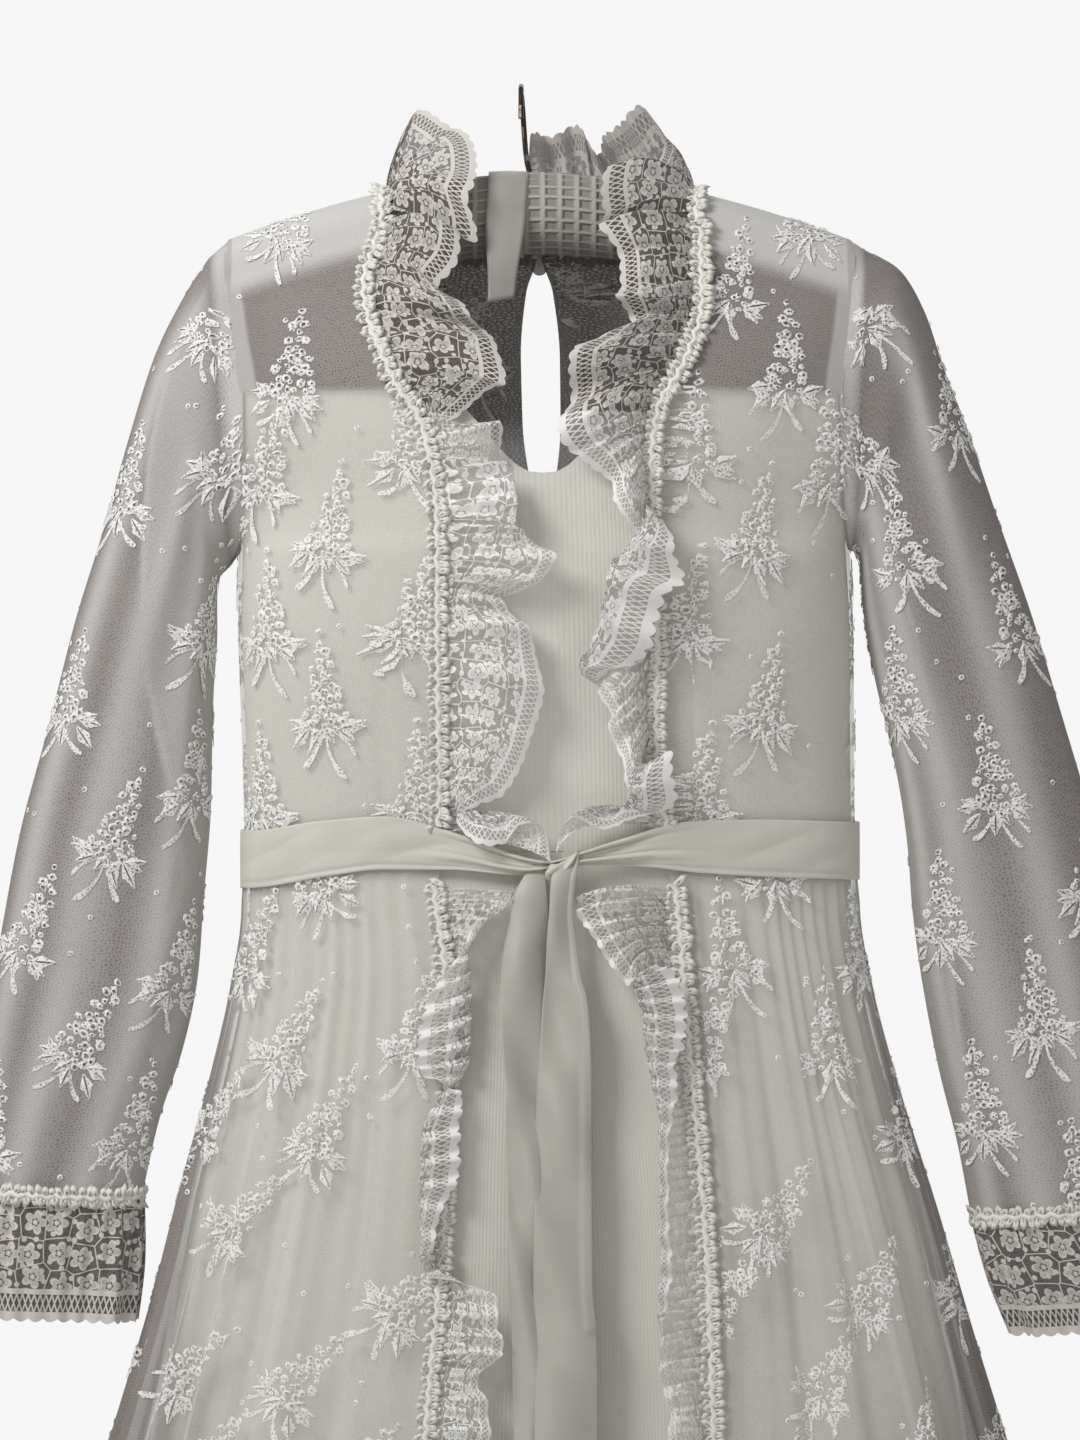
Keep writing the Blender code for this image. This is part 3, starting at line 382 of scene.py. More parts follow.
def under_bodice(face):
    def place(across, down):
        side = LEFT if across < 0.5 else RIGHT
        angle = math.pi / 2 * (1 - abs(2 * across - 1))
        z = LINING_TOP_Z + (WAIST_Z - LINING_TOP_Z) * down
        dip = neckline_dip(section(angle)[0] * bodice_width(z), face)
        level = z - dip * max(0, 1 - down * 3.4)
        x = section(angle)[0] * bodice_width(level)
        pinch = dart(x - DARTS[side], level, 1.1 * MM)
        slack = (0.9 * MM * math.sin(90 * x + side) * math.sin(38 * level + 2) * ease(down * 3)
                 * math.sin(angle))
        return Vector((middle(level) + side * x, face * (bodice_y(x, level, face, 0) + pinch + slack), level))

    return place


# Crepe: a matt, faintly ribbed weave of twisted yarn. The ribs are drawn 1.6 mm apart so that they show.
crepe, tree, shader = cloth_material("ivory_crepe", "#DEDBCE", 0.8, 0.2)
uv = node(tree, "UVMap")
rib = node(tree, "TexWave",
           {"Vector": uv, "Scale": 196.0, "Distortion": 0.6, "Detail": 1.0, "Detail Scale": 2.0},
           wave_type="BANDS", bands_direction="X")
yarn = node(tree, "TexNoise", {"Vector": uv, "Scale": 700.0, "Detail": 3.0})
cloud = node(tree, "TexNoise", {"Vector": uv, "Scale": 9.0, "Detail": 3.0})
tone = node(tree, "MixRGB", {0: cloud, 1: rgb("#DCDACF"), 2: rgb("#EAE8E0")})
streak = node(tree, "MapRange", {0: rib, 1: 0.0, 2: 1.0, 3: 0.965, 4: 1.0})
woven = node(tree, "MixRGB", {0: 1.0, 1: tone, 2: streak}, blend_type="MULTIPLY")
relief = node(tree, "Math", {0: yarn, 1: 0.5, 2: rib}, operation="MULTIPLY_ADD")
bump = node(tree, "Bump", {"Height": relief, "Strength": 0.3, "Distance": 0.00035})
join(tree, shader, {"Base Color": woven, "Normal": bump})


def under_skirt(face):
    def place(across, down):
        side = LEFT if across < 0.5 else RIGHT
        part = abs(2 * across - 1)
        z = WAIST_Z + (LINING_HEM_Z - WAIST_Z) * down
        fade = ease(part * 2.2)
        fold = lining_skirt["fold"](z) * (0.5 - 0.5 * math.cos(2 * math.pi * 2.5 * part + 2 * down)) * fade
        fold += 2.2 * MM * math.sin(23 * across + 4 * down) * math.sin(11 * across) * ease(down * 4)
        return skirt_point(math.pi / 2 * (1 - part), z, side, face, lining_skirt, fold - 0.6 * MM)

    return place


for face, name in ((FRONT, "front"), (BACK, "back")):
    piece = cloth(f"crepe_bodice_{name}", 120, 60, under_bodice(face), from_middle, (0.42, 0.27))
    finish_piece(piece, crepe, "crepe", f"underbodice_{name}")
    piece = cloth(f"crepe_skirt_{name}", 110, 90, under_skirt(face), from_middle, (0.62, 1.0))
    finish_piece(piece, crepe, "crepe", f"underskirt_{name}")

# Lace over-dress: sheer net with embroidered sprays, cut as front, back and skirt panels and two long
# sleeves. It is open in front from neck to hem, has a teardrop keyhole in the back, and shows the crepe
# through itself.
NECK_X, NECK_BACK_Z, NECK_POWER = 95 * MM, -98 * MM, 4
OPENING = {
    LEFT: [(-1494, 100), (-815, 76), (-611, 61), (-539, 61), (-480, 67), (-431, 63), (-335, 62),
           (-263, 61), (-209, 68), (-179, 86), (-125, 103), (-65, 95)],
    RIGHT: [(-1494, 112), (-790, 89), (-713, 87), (-611, 81), (-551, 77), (-502, 74), (-473, 71), (-395, 62),
            (-335, 64), (-239, 62), (-197, 67), (-173, 82), (-131, 95), (-65, 95)],
}
KEYHOLE = [(-462, 0.15), (-262, 0.15), (-258, 2), (-235, 8), (-200, 11.7), (-160, 12), (-120, 8),
           (-103, 2), (-98, 1)]
PANEL_COLUMNS = {
    # where each line of the panel starts on the shoulder or neckline, and its angle round the body lower down
    FRONT: [(95, 90), (104, 66), (118, 53), (134, 41), (151, 31), (165, 22), (176, 14), (184, 7), (189, 0)],
    BACK: [(1, 90), (50, 78), (80, 66), (95, 53), (118, 41), (140, 31), (160, 22), (174, 14),
           (184, 7), (189, 0)],
}
opening = {side: smooth_curve(rows) for side, rows in OPENING.items()}
keyhole = smooth_curve(KEYHOLE)
hang_z = ridge(NECK_X, LACE_LIFT) - shoulder_roll(NECK_X, LACE_LIFT)


def front_edge(side, z):
    """The lace's front edge, as a distance from the dress's middle."""
    return NECK_X + (opening[side](z) - NECK_X) * ease((hang_z - z) / (30 * MM))


def neck_height(x):
    return NECK_BACK_Z + (hang_z - NECK_BACK_Z) * (x / NECK_X) ** NECK_POWER


def lerp(low, high, part):
    return low + (high - low) * part


def lace_bodice(side, face):
    table = PANEL_COLUMNS[face]

    def place(across, down):
        index = min(int(across * (len(table) - 1)), len(table) - 2)
        part = across * (len(table) - 1) - index
        top_x = lerp(table[index][0], table[index + 1][0], part) * MM
        roll = shoulder_roll(top_x, LACE_LIFT)
        if face == BACK and top_x < NECK_X:
            top = neck_height(top_x)
            z = lerp(top, WAIST_Z, down)
            on_bar = False
        else:
            top = ridge(top_x, LACE_LIFT)
            arc = roll * math.pi / 2
            along = down * (arc + top - roll - WAIST_Z)
            on_bar = along < arc
            z = top - roll * (1 - math.cos(along / roll)) if on_bar else top - roll - (along - arc)
        half_width = bodice_width(z) + LACE_LIFT
        edge = front_edge(side, z) if face == FRONT else keyhole(z)
        low = [edge if degrees == 90 else section(math.radians(degrees))[0] * half_width
               for degrees in (table[index][1], table[index + 1][1])]
        low_x = lerp(low[0], low[1], part)
        start = max((top_x - edge) / (half_width - edge), 0) if index or part else 0
        share = max((low_x - edge) / (half_width - edge), start * 0.7)
        x = edge + (half_width - edge) * lerp(start, share, ease((top - z) / (top + 222 * MM)))
        if on_bar:
            x = lerp(top_x, x, ease(1 - (z - top + roll) / roll) * 0.4)
        x = lerp(x, half_width, ease((across - 0.9) * 10)) if z < -100 * MM else x
        pinch = dart(x - DARTS[side], z, 0.8 * MM) if face == FRONT else 0
        slack = (1.2 * MM * math.sin(55 * x + 30 * z + side) * math.sin(26 * z) * ease(down * 2.4)
                 * (1 - across))
        return Vector((middle(z) + side * x,
                       face * (bodice_y(x, z, face, LACE_LIFT) + pinch + abs(slack)), z))

    return place


def front_y(x, z):
    """Front of the lace at a place x from the dress's middle, above or below the waist."""
    if z > WAIST_Z:
        return -bodice_y(abs(x), z, FRONT, LACE_LIFT)
    width = lace_skirt["width"](z) + LACE_LIFT
    return -(lace_skirt["depth"][FRONT](z) + LACE_LIFT) * section(edge_angle(abs(x), width))[1]


LACE_SHARE = 0.96  # share of a front panel's columns that is folded, before the flat strip under the braid


def lace_skirt_panel(side, face):
    folds = 5.5 if face == FRONT else 6

    def place(across, down):
        z = lerp(WAIST_Z, LACE_HEM_Z, down)
        width = lace_skirt["width"](z) + LACE_LIFT
        edge, band = (front_edge(side, z), 10 * MM) if face == FRONT else (SEAM / 2, 0)
        last = edge_angle(edge + band, width)
        part = min(across / LACE_SHARE, 1) if face == FRONT else across
        if face == FRONT and across > LACE_SHARE:
            x = edge + band * (1 - across) / (1 - LACE_SHARE)
            return Vector((middle(z) + side * x, front_y(x, z), z))
        wander = 0.025 * math.sin(2 * math.pi * 2 * part + 5 * down + side) * math.sin(math.pi * part)
        crest = 0.5 + 0.5 * math.cos(2 * math.pi * folds * (part + wander))
        depth = lace_skirt["fold"](z) * (0.82 + 0.18 * math.sin(9 * part + 3 * side))
        small = 0.5 + 0.5 * math.cos(2 * math.pi * (2.7 * folds * (part - wander) + 0.3 * side))
        depth = crest * depth + 1.8 * MM * small * ease(down * 30) * ease(1.3 - down * 2)
        return skirt_point(last * part, z, side, face, lace_skirt, LACE_LIFT + depth)

    return place


def blend_rows(rows, at):
    """A smooth row between the rows of a table, with at from 0 to 1."""
    at *= len(rows) - 1
    index = min(int(at), len(rows) - 2)
    part = at - index
    around = [rows[min(max(number, 0), len(rows) - 1)] for number in range(index - 1, index + 3)]
    return [b + 0.5 * part * (c - a + part * (2 * a - 5 * b + 4 * c - d + part * (3 * (b - c) + d - a)))
            for a, b, c, d in zip(*around)]


SHOULDER_X, UNDERARM_Z = 189 * MM, -280 * MM
SLEEVE = {
    LEFT: [
        # outer x, outer z, inner x, inner z, half depth
        (-190, -103, -176, -289, 35), (-206, -128, -184, -298, 34), (-223, -163, -185, -311, 33),
        (-239, -214, -185, -335, 32), (-254, -268, -187, -365, 31), (-271, -323, -188, -401, 30),
        (-287, -386, -189, -443, 29), (-304, -449, -193, -491, 28), (-316, -512, -197, -542, 27),
        (-326, -569, -206, -584, 26), (-335, -620, -220, -626, 25), (-343, -665, -230, -670, 24),
    ],
    RIGHT: [
        # outer x, outer z, inner x, inner z, half depth
        (209, -98, 202, -281, 35), (230, -110, 206, -288, 34), (245, -135, 207, -302, 33),
        (257, -170, 209, -325, 33), (272, -209, 215, -358, 32), (290, -262, 223, -392, 31),
        (310, -319, 230, -425, 30), (329, -382, 235, -461, 29), (350, -453, 238, -500, 28),
        (368, -522, 244, -544, 27), (383, -588, 254, -596, 26), (395, -636, 265, -640, 25),
        (403, -675, 273, -682, 24),
    ],
}
SLEEVE_FOLDS = {
    # where each long fold lies round the sleeve at its top and its end, its width and its depth
    LEFT: [(0.40, 0.32, 0.035, 5), (0.27, 0.20, 0.03, 3), (0.12, 0.10, 0.03, 2.5), (0.62, 0.70, 0.04, 4),
           (0.85, 0.8, 0.03, 3)],
    RIGHT: [(0.36, 0.30, 0.035, 4.5), (0.16, 0.22, 0.03, 3.5), (0.44, 0.4, 0.025, 3), (0.6, 0.66, 0.04, 4),
            (0.8, 0.86, 0.03, 3)],
}
SLEEVE_DOUBLE = {
    # how far the net lies folded double from the sleeve's inner edge, as a share of its width, top to cuff
    LEFT: [0.9, 0.88, 0.85, 0.78, 0.63, 0.5, 0.27, 0.13, 0.23, 0.24, 0.22, 0.2],
    RIGHT: [0.1, 0.16, 0.24, 0.3, 0.32, 0.3, 0.27, 0.24, 0.16, 0.12, 0.1, 0.1],
}


def armhole_point(side, turn):
    """The armhole's edge: from its top down the front for half a turn, and up the back."""
    face = FRONT if turn < 0.5 else BACK
    down = 2 * turn if turn < 0.5 else 2 * (1 - turn)
    top_x = SHOULDER_X
    roll = shoulder_roll(top_x, LACE_LIFT)
    top = ridge(top_x, LACE_LIFT)
    arc = roll * math.pi / 2
    along = down * (arc + top - roll - UNDERARM_Z)
    z = top - roll * (1 - math.cos(along / roll)) if along < arc else top - roll - (along - arc)
    x = lerp(top_x, bodice_width(z) + LACE_LIFT, ease(along / arc))
    closing = 1 - min(armhole_depth[face](z) / FLAT_ARMHOLE, 1) if along > arc else 0
    x += 0.6 * MM * closing - 1.2 * MM
    y = bodice_y(x, z, face, LACE_LIFT) if 0 < down < 1 else 0
    return Vector((middle(z) + side * x, face * y, z))


def laid_point(row, turn, ripple):
    """A place round the flattened tube of a hanging sleeve."""
    outer, inner = Vector((row[0] * MM, 0, row[1] * MM)), Vector((row[2] * MM, 0, row[3] * MM))
    angle = 2 * math.pi * turn
    across = math.copysign(abs(math.cos(angle)) ** 0.9, math.cos(angle))
    deep = math.copysign(abs(math.sin(angle)) ** 0.9, math.sin(angle))
    return (outer + inner) / 2 + (outer - inner) / 2 * across + Vector((0, -(row[4] * MM + ripple) * deep, 0))


def sleeve_surface(side):
    def place(turn, down):
        turn = turn % 1
        head = 0.035
        at = max(down - head, 0) / (1 - head)
        ripple = 0
        for first, last, wide, deep in SLEEVE_FOLDS[side]:
            gap = (turn - lerp(first, last, at) - 0.012 * math.sin(9 * at + 20 * first) + 0.5) % 1 - 0.5
            ripple += deep * MM * math.exp(-(gap / wide) ** 2) * ease(at * 4) * (0.8 + 0.2 * math.sin(7 * at))
        ripple += 1.2 * MM * math.sin(24 * at + 12 * turn) * math.sin(2 * math.pi * turn * 3) * ease(at * 5)
        laid = laid_point(blend_rows(SLEEVE[side], at), turn, ripple - 1.5 * MM * ease(at * 4))
        if down >= head:
            return laid
        return armhole_point(side, turn).lerp(laid, down / head)

    return place


# Net: hexagonal mesh of fine nylon, sheer. Where nothing backs it, it is painted a dark taupe, darker still
# on the back panels, beyond the crepe's sides and at the sleeves' flattened edges: painted shade. Where the
# crepe backs it, it is ivory. It is paler where it lies double, at seams and folds, and along fold crests,
# which get a painted highlight. Its threads are far too fine to draw one by one, so a faint grain 1.8 mm
# across stands for them.
sheer, tree, shader = cloth_material("fine_nylon_net", "#A7A09C", 0.88, 0.1)
uv = node(tree, "UVMap")
backed = node(tree, "Attribute", attribute_name="backed").outputs["Fac"]
doubled_and_crest_lit = node(tree, "Attribute", attribute_name="doubled_and_crest_lit").outputs["Fac"]
lined = node(tree, "Math", {0: backed, 1: 4.0, 2: 0.5}, operation="MULTIPLY_ADD", use_clamp=True)
painted_deep_shade = node(tree, "Math", {0: backed, 1: -1.0, 2: -1.0}, operation="MULTIPLY_ADD", use_clamp=True)
mesh_cells = node(tree, "TexVoronoi", {"Vector": uv, "Scale": 560.0}, voronoi_dimensions="2D",
                  feature="DISTANCE_TO_EDGE")
threads = node(tree, "MapRange", {0: mesh_cells, 1: 0.02, 2: 0.35, 3: 1.0, 4: 0.0})
cloud = node(tree, "TexNoise", {"Vector": uv, "Scale": 11.0, "Detail": 3.0})
# Painted shade: a dark taupe where nothing backs the net, and a deeper one where the attribute falls below
# -1.
dark = node(tree, "MixRGB", {0: cloud, 1: rgb("#766C69"), 2: rgb("#928885")})
darkest = node(tree, "MixRGB", {0: painted_deep_shade, 1: dark, 2: rgb("#6E635C")})
pale = node(tree, "MixRGB", {0: cloud, 1: rgb("#DEDDD5"), 2: rgb("#EDECE6")})
ground = node(tree, "MixRGB", {0: lined, 1: darkest, 2: pale})
# Paler where the net lies double, and along fold crests: painted highlights there.
paler_doubled_and_lit = node(tree, "MixRGB", {0: doubled_and_crest_lit, 1: ground, 2: rgb("#E0DFDC")})
tinted = node(tree, "MixRGB", {0: node(tree, "Math", {0: threads, 1: 0.24}, operation="MULTIPLY"), 1: paler_doubled_and_lit,
                               2: rgb("#E6E4DF")})
cover = node(tree, "MapRange", {0: lined, 1: 0.0, 2: 1.0, 3: 0.83, 4: 0.30})
deeper = node(tree, "Math", {0: painted_deep_shade, 1: 0.08, 2: cover}, operation="MULTIPLY_ADD")
thicker = node(tree, "Math", {0: doubled_and_crest_lit, 1: 0.16, 2: deeper}, operation="MULTIPLY_ADD")
grainy = node(tree, "Math", {0: threads, 1: 0.1, 2: thicker}, operation="MULTIPLY_ADD", use_clamp=True)
bump = node(tree, "Bump", {"Height": threads, "Strength": 0.15, "Distance": 0.0002})
join(tree, shader, {"Base Color": tinted, "Alpha": grainy, "Normal": bump})

# Embroidery: satin-stitched white cotton, corded at the outlines, so that it stands a little proud of the
# net. The cords are drawn 2.3 mm apart, with half-open stitching between them that lets the net show through.
# The cords are painted near white and the stitching between them grey: painted highlight and painted shade of
# the raised cords.
embroidery, tree, shader = cloth_material("white_embroidery_thread", "#F0EFEC", 0.7, 0.3)
uv = node(tree, "TexCoord").outputs["Object"]
stitch = node(tree, "TexNoise", {"Vector": uv, "Scale": 1300.0, "Detail": 2.0})
bump = node(tree, "Bump", {"Height": stitch, "Strength": 0.5, "Distance": 0.0005})
cords = node(tree, "TexVoronoi", {"Vector": uv, "Scale": 430.0}, feature="DISTANCE_TO_EDGE")
corded = node(tree, "MapRange", {0: cords, 1: 0.1, 2: 0.28, 3: 1.0, 4: 0.0})
# Painted highlight on the cords and painted shade between them.
cord_highlight_and_shade = node(tree, "MixRGB", {0: corded, 1: rgb("#C9C5BF"), 2: rgb("#FCFBF9")})
tone = node(tree, "MixRGB", {0: stitch, 1: cord_highlight_and_shade, 2: rgb("#F4F2EE")})
fill = node(tree, "MapRange", {0: corded, 3: 0.5, 4: 1.0})
join(tree, shader, {"Base Color": tone, "Alpha": fill, "Normal": bump})


def spray_pattern(dice):
    """One embroidered spray, tip up, in metres: ring florets in a tapering cluster, leaves and stems."""
    points, faces = [], []

    def band(outer, inner, closed=True):
        start, count = len(points), len(outer)
        points.extend(outer + inner)
        for number in range(count if closed else count - 1):
            after = (number + 1) % count
            faces.append((start + number, start + after, start + count + after, start + count + number))

    def floret(x, y, radius):
        lift, turn, squash = dice.uniform(0.3, 0.9), dice.uniform(0, 1), dice.uniform(0.7, 1.1)
        hole = dice.uniform(0.15, 0.5)
        outer, inner = [], []
        for angle in (math.pi / 3 * (k + turn) for k in range(6)):
            a, b = math.cos(angle), math.sin(angle) * squash
            edge = radius * dice.uniform(0.7, 1.3)
            outer.append((x + edge * a, y + edge * b, lift * 0.5))
            inner.append((x + hole * radius * a, y + hole * radius * b, lift + 0.3))
        band(outer, inner)

    def leaf(x, y, heading, length, wide):
        """Two corded halves that leave a slit between them."""
        along = (math.cos(heading), math.sin(heading))
        for way in (1, -1):
            outer, inner = [], []
            for k in range(5):
                share = k / 4
                out = length * share
                half = wide / 2 * math.sin(math.pi * share ** 0.8) ** 0.8 + 0.35
                over = half * (1 + 0.22 * (-1) ** k)
                outer.append((x + along[0] * out - way * along[1] * over,
                              y + along[1] * out + way * along[0] * over, 0.25))
                slit = 0.16 * half if 0 < k < 4 else 0
                inner.append((x + along[0] * out - way * along[1] * slit,
                              y + along[1] * out + way * along[0] * slit, 0.9))
            band(outer, inner, closed=False) if way == 1 else band(inner, outer, closed=False)

    def stem(x, y, heading, curl, length, wide):
        left, right = [], []
        for k in range(8):
            share = k / 7
            half = (wide / 2 * (0.4 + 0.6 * ease(share * 1.2 - 0.2)) * (0.5 if k == 7 else 1)
                    * dice.uniform(0.8, 1.2))
            left.append((x - math.sin(heading) * half, y + math.cos(heading) * half, 0.3))
            right.append((x + math.sin(heading) * half, y - math.cos(heading) * half, 0.7))
            x += math.cos(heading) * length / 7
            y += math.sin(heading) * length / 7
            heading += curl * dice.uniform(0.02, 0.12)
        band(left, right, closed=False)

    lean = dice.uniform(-0.5, 0.5)
    for row, count in enumerate((1, 1, 2, 2, 3, 3, 4, 4, 5, 5, 6, 5, 3)):
        for number in range(count):
            floret((number - (count - 1) / 2) * 3.8 + dice.uniform(-1.4, 1.4) + lean * row,
                   42 - 3.8 * row + dice.uniform(-1.3, 1.3), dice.uniform(1.5, 2.7))
    for x, headings in ((-7, (150, 190, 226)), (7, (32, -10, -44)), (0, (-70, -112))):
        for heading in headings:
            leaf(x, dice.uniform(-6, 1), math.radians(heading + dice.uniform(-14, 14)),
                 dice.uniform(9, 15), 4.8)
    stem(-1, -5, math.radians(dice.uniform(-112, -90)), -1.6, dice.uniform(18, 25), 3.0)
    stem(2, -6, math.radians(dice.uniform(-85, -65)), 1.8, dice.uniform(13, 20), 3.2)
    stem(-5, -4, math.radians(dice.uniform(-160, -135)), 1.4, 15, 2.0)
    return np.array(points) * [1.28 * MM, 1.28 * MM, MM], faces


patterns = [spray_pattern(random.Random(seed)) for seed in (3, 11, 29)]
dot_points = [(r * math.cos(a) * MM, r * math.sin(a) * MM, h * MM)
              for r, h in ((1.9, 0.3), (0.6, 0.7)) for a in (math.pi / 3 * k for k in range(6))]
dot_pattern = (np.array(dot_points), [(k, (k + 1) % 6, 6 + (k + 1) % 6, 6 + k) for k in range(6)])

BODICE_GRID, SKIRT_GRID, SLEEVE_GRID = (64, 84), (150, 100), (120, 120)
SPRAY_ROWS, SPRAY_COLUMNS, SPRAY_CLEARANCE = 51 * MM, 92 * MM, 56 * MM


def worked_piece(name, points, faces):
    mesh = bpy.data.meshes.new(name)
    mesh.from_pydata(points, [], faces)
    mesh.update()
    piece = bpy.data.objects.new(name, mesh)
    bpy.context.scene.collection.objects.link(piece)
    return piece


def grid_of(piece, columns, rows):
    points = np.array([vertex.co for vertex in piece.data.vertices]).reshape(rows + 1, columns + 1, 3)
    return points[::-1]


def on_grid(grid, across, down):
    """Points between the grid's own, for shares across and down it."""
    rows, columns = grid.shape[0] - 1, grid.shape[1] - 1
    i = np.clip((across * columns).astype(int), 0, columns - 1)
    j = np.clip((down * rows).astype(int), 0, rows - 1)
    a = (across * columns - i)[:, None]
    b = (down * rows - j)[:, None]
    return ((grid[j, i] * (1 - a) + grid[j, i + 1] * a) * (1 - b)
            + (grid[j + 1, i] * (1 - a) + grid[j + 1, i + 1] * a) * b)


def walk(grid, across, down, x, y, wrap):
    """Shares across and down a panel for places beside and above one of its own, by short steps."""
    u, v = np.full(len(x), float(across)), np.full(len(x), float(down))
    for _ in range(6):
        if wrap:
            u = u % 1
        here, level = np.clip(u, 0, 1), np.clip(v, 0, 0.99)
        ends = np.clip(here - 0.01, 0, 1), np.clip(here + 0.01, 0, 1)
        beside = ((on_grid(grid, ends[1], level) - on_grid(grid, ends[0], level))
                  / (ends[1] - ends[0])[:, None])
        below = (on_grid(grid, here, level + 0.01) - on_grid(grid, here, level)) / 0.01
        steep = np.maximum(np.linalg.norm(below, axis=1), 0.02)
        skew = (beside * below).sum(axis=1) / steep
        square = np.sqrt(np.maximum((beside ** 2).sum(axis=1) - skew ** 2, 0.0004))
        u, v = u + x / 6 / square, v - (y / 6 + x / 6 / square * skew) / steep
    return u % 1 if wrap else u, v


def embroider(name, grid, tilt, outward, proud=0.15 * MM, wrap=False, spread=10):
    """Sprays and dots in half drop all over a panel, as one piece that lies on its net."""
    drops = np.linalg.norm(np.diff(grid, axis=0), axis=2).sum(axis=0)
    length = float(drops.mean())
    gaps = np.linalg.norm(np.diff(grid, axis=1), axis=2).sum(axis=1)
    spots = []
    for row in range(int(length / SPRAY_ROWS) + 1):
        down = (row + 0.45) * SPRAY_ROWS / length
        if down > 1.02:
            continue
        width = float(np.interp(down, np.linspace(0, 1, len(gaps)), gaps))
        count = max(width / SPRAY_COLUMNS, 0.5)
        for number in range(-1, int(count) + 2):
            across = (number + (0.25 if row % 2 else 0.75) + random.uniform(-0.06, 0.06)) / count
            if wrap and not 0 <= number < round(count):
                continue
            across = (number + (0.25 if row % 2 else 0.75)) / round(count) if wrap else across
            if -0.1 < across < 1.1:
                spots.append((across, down + random.uniform(-0.006, 0.006), random.randrange(3), False))
                for _ in range(2):
                    spots.append((across + random.uniform(0.25, 0.75) / count,
                                  down + random.uniform(-0.5, 0.5) * SPRAY_ROWS / length, 0, True))
    points, faces, start, placed = [], [], 0, []
    shares = np.linspace(0, 1, grid.shape[1])
    for across, down, kind, dot in spots:
        pattern, links = dot_pattern if dot else patterns[kind]
        turn = math.radians(tilt(across, down) + random.uniform(-spread, spread))
        x = pattern[:, 0] * math.cos(turn) - pattern[:, 1] * math.sin(turn)
        y = pattern[:, 0] * math.sin(turn) + pattern[:, 1] * math.cos(turn)
        row = on_grid(grid, shares, np.full(len(shares), min(max(down, 0), 1)))
        reach = np.concatenate([[0], np.linalg.norm(np.diff(row, axis=0), axis=1).cumsum()])
        centre_across = np.interp(across * reach[-1], reach, shares) if 0 < across < 1 else across
        centre = on_grid(grid, np.clip([centre_across], 0, 1), np.clip([down], 0, 1))[0]
        if not dot and any(np.linalg.norm(centre - other) < SPRAY_CLEARANCE for other in placed):
            continue
        if not dot:
            placed.append(centre)
        u, v = walk(grid, centre_across, down, x, y, wrap)
        inside = (u >= 0) & (u <= 1) & (v >= 0) & (v <= 1)
        kept = [link for link in links if inside[list(link)].all()]
        if wrap:
            kept = [link for link in kept if np.ptp(u[list(link)]) < 0.5]
        if not kept:
            continue
        u, v = np.clip(u, 0, 1), np.clip(v, 0, 1)
        here = on_grid(grid, u, v)
        beside = on_grid(grid, np.clip(u + 0.01, 0, 1), v) - on_grid(grid, np.clip(u - 0.01, 0, 1), v)
        below = on_grid(grid, u, np.clip(v + 0.01, 0, 1)) - on_grid(grid, u, np.clip(v - 0.01, 0, 1))
        normal = np.cross(below, beside)
        normal /= np.maximum(np.linalg.norm(normal, axis=1), 1e-9)[:, None]
        ways = np.array([outward(Vector(point)) for point in here])
        normal *= np.where((normal * ways).sum(axis=1) < 0, -1, 1)[:, None]
        here = here + normal * (pattern[:, 2:3] + proud)
        used = sorted({corner for link in kept for corner in link})
        order = {corner: start + number for number, corner in enumerate(used)}
        points.extend(here[used].tolist())
        faces.extend([tuple(order[corner] for corner in link) for link in kept])
        start += len(used)
    piece = worked_piece(name, points, faces)
    if sum(face.normal.dot(outward(face.center)) for face in piece.data.polygons[:400]) < 0:
        piece.data.flip_normals()
    return finish_piece(piece, embroidery, "lace_white")


def back_the_net(piece, backing, doubling_and_highlight=lambda vertex: 0, least=-1):
    """Stores how far inside the crepe's outline each point lies, from which the materials paint shade and
    light, and where the net is paler: where it lies double, and where fold crests get a painted highlight.
    """
    backed = piece.data.attributes.new("backed", "FLOAT", "POINT")
    doubled_and_crest_lit = piece.data.attributes.new("doubled_and_crest_lit", "FLOAT", "POINT")
    for vertex, inside, paler_doubled_and_lit in zip(piece.data.vertices, backed.data, doubled_and_crest_lit.data):
        inside.value = min(max(backing(vertex) / (20 * MM), least), 1)
        paler_doubled_and_lit.value = doubling_and_highlight(vertex)


def place_on(vertex, grid):
    """Shares across and down a piece of cloth, from a point's number."""
    columns, rows = grid
    return vertex.index % (columns + 1) / columns, 1 - vertex.index // (columns + 1) / rows


def bodice_backing(vertex):
    point = vertex.co
    x = abs(point.x - middle(point.z))
    return LINING_TOP_Z - neckline_dip(x, FRONT if point.y < 0 else BACK) - point.z


def skirt_backing(vertex):
    outside = lining_skirt["width"](vertex.co.z) - abs(vertex.co.x - middle(vertex.co.z)) + 3 * MM
    # Beyond the crepe's sides the value falls faster, so that the net there is painted darker: painted shade.
    return outside if outside > 0 else outside * 1.8


def bodice_doubling(vertex):
    """The seam allowances along the shoulder and round the armhole."""
    x, z = abs(vertex.co.x - middle(vertex.co.z)), vertex.co.z
    shoulder = 0.75 * ease((z - ridge(x, LACE_LIFT)) / (14 * MM) + 3.1) if x < 186 * MM else 0
    armhole = ease((x - bodice_width(z) + 9 * MM) / (3 * MM)) * ease((z + 300 * MM) / (30 * MM))
    return max(shoulder, 0.45 * armhole) if z > -330 * MM else 0


def skirt_crest_highlight(vertex):
    """Pale streaks down the skirt, narrow at the waist and wider below: painted highlights on the crests of
    the gathers, where the net also turns back on itself.
    """
    across, down = place_on(vertex, SKIRT_GRID)
    across /= LACE_SHARE
    wave = math.cos(2 * math.pi * (7 * across + 0.2 * math.sin(9 * across + 4 * down)))
    edge = math.cos(2 * math.pi * (11 * across + 0.3 * math.sin(5 * across - 3 * down) + 0.4))
    return (0.75 * ease(3 * wave - 0.9) + 0.3 * ease(3 * edge - 1.2)) * ease(down * 12) * (1 - 0.4 * down)


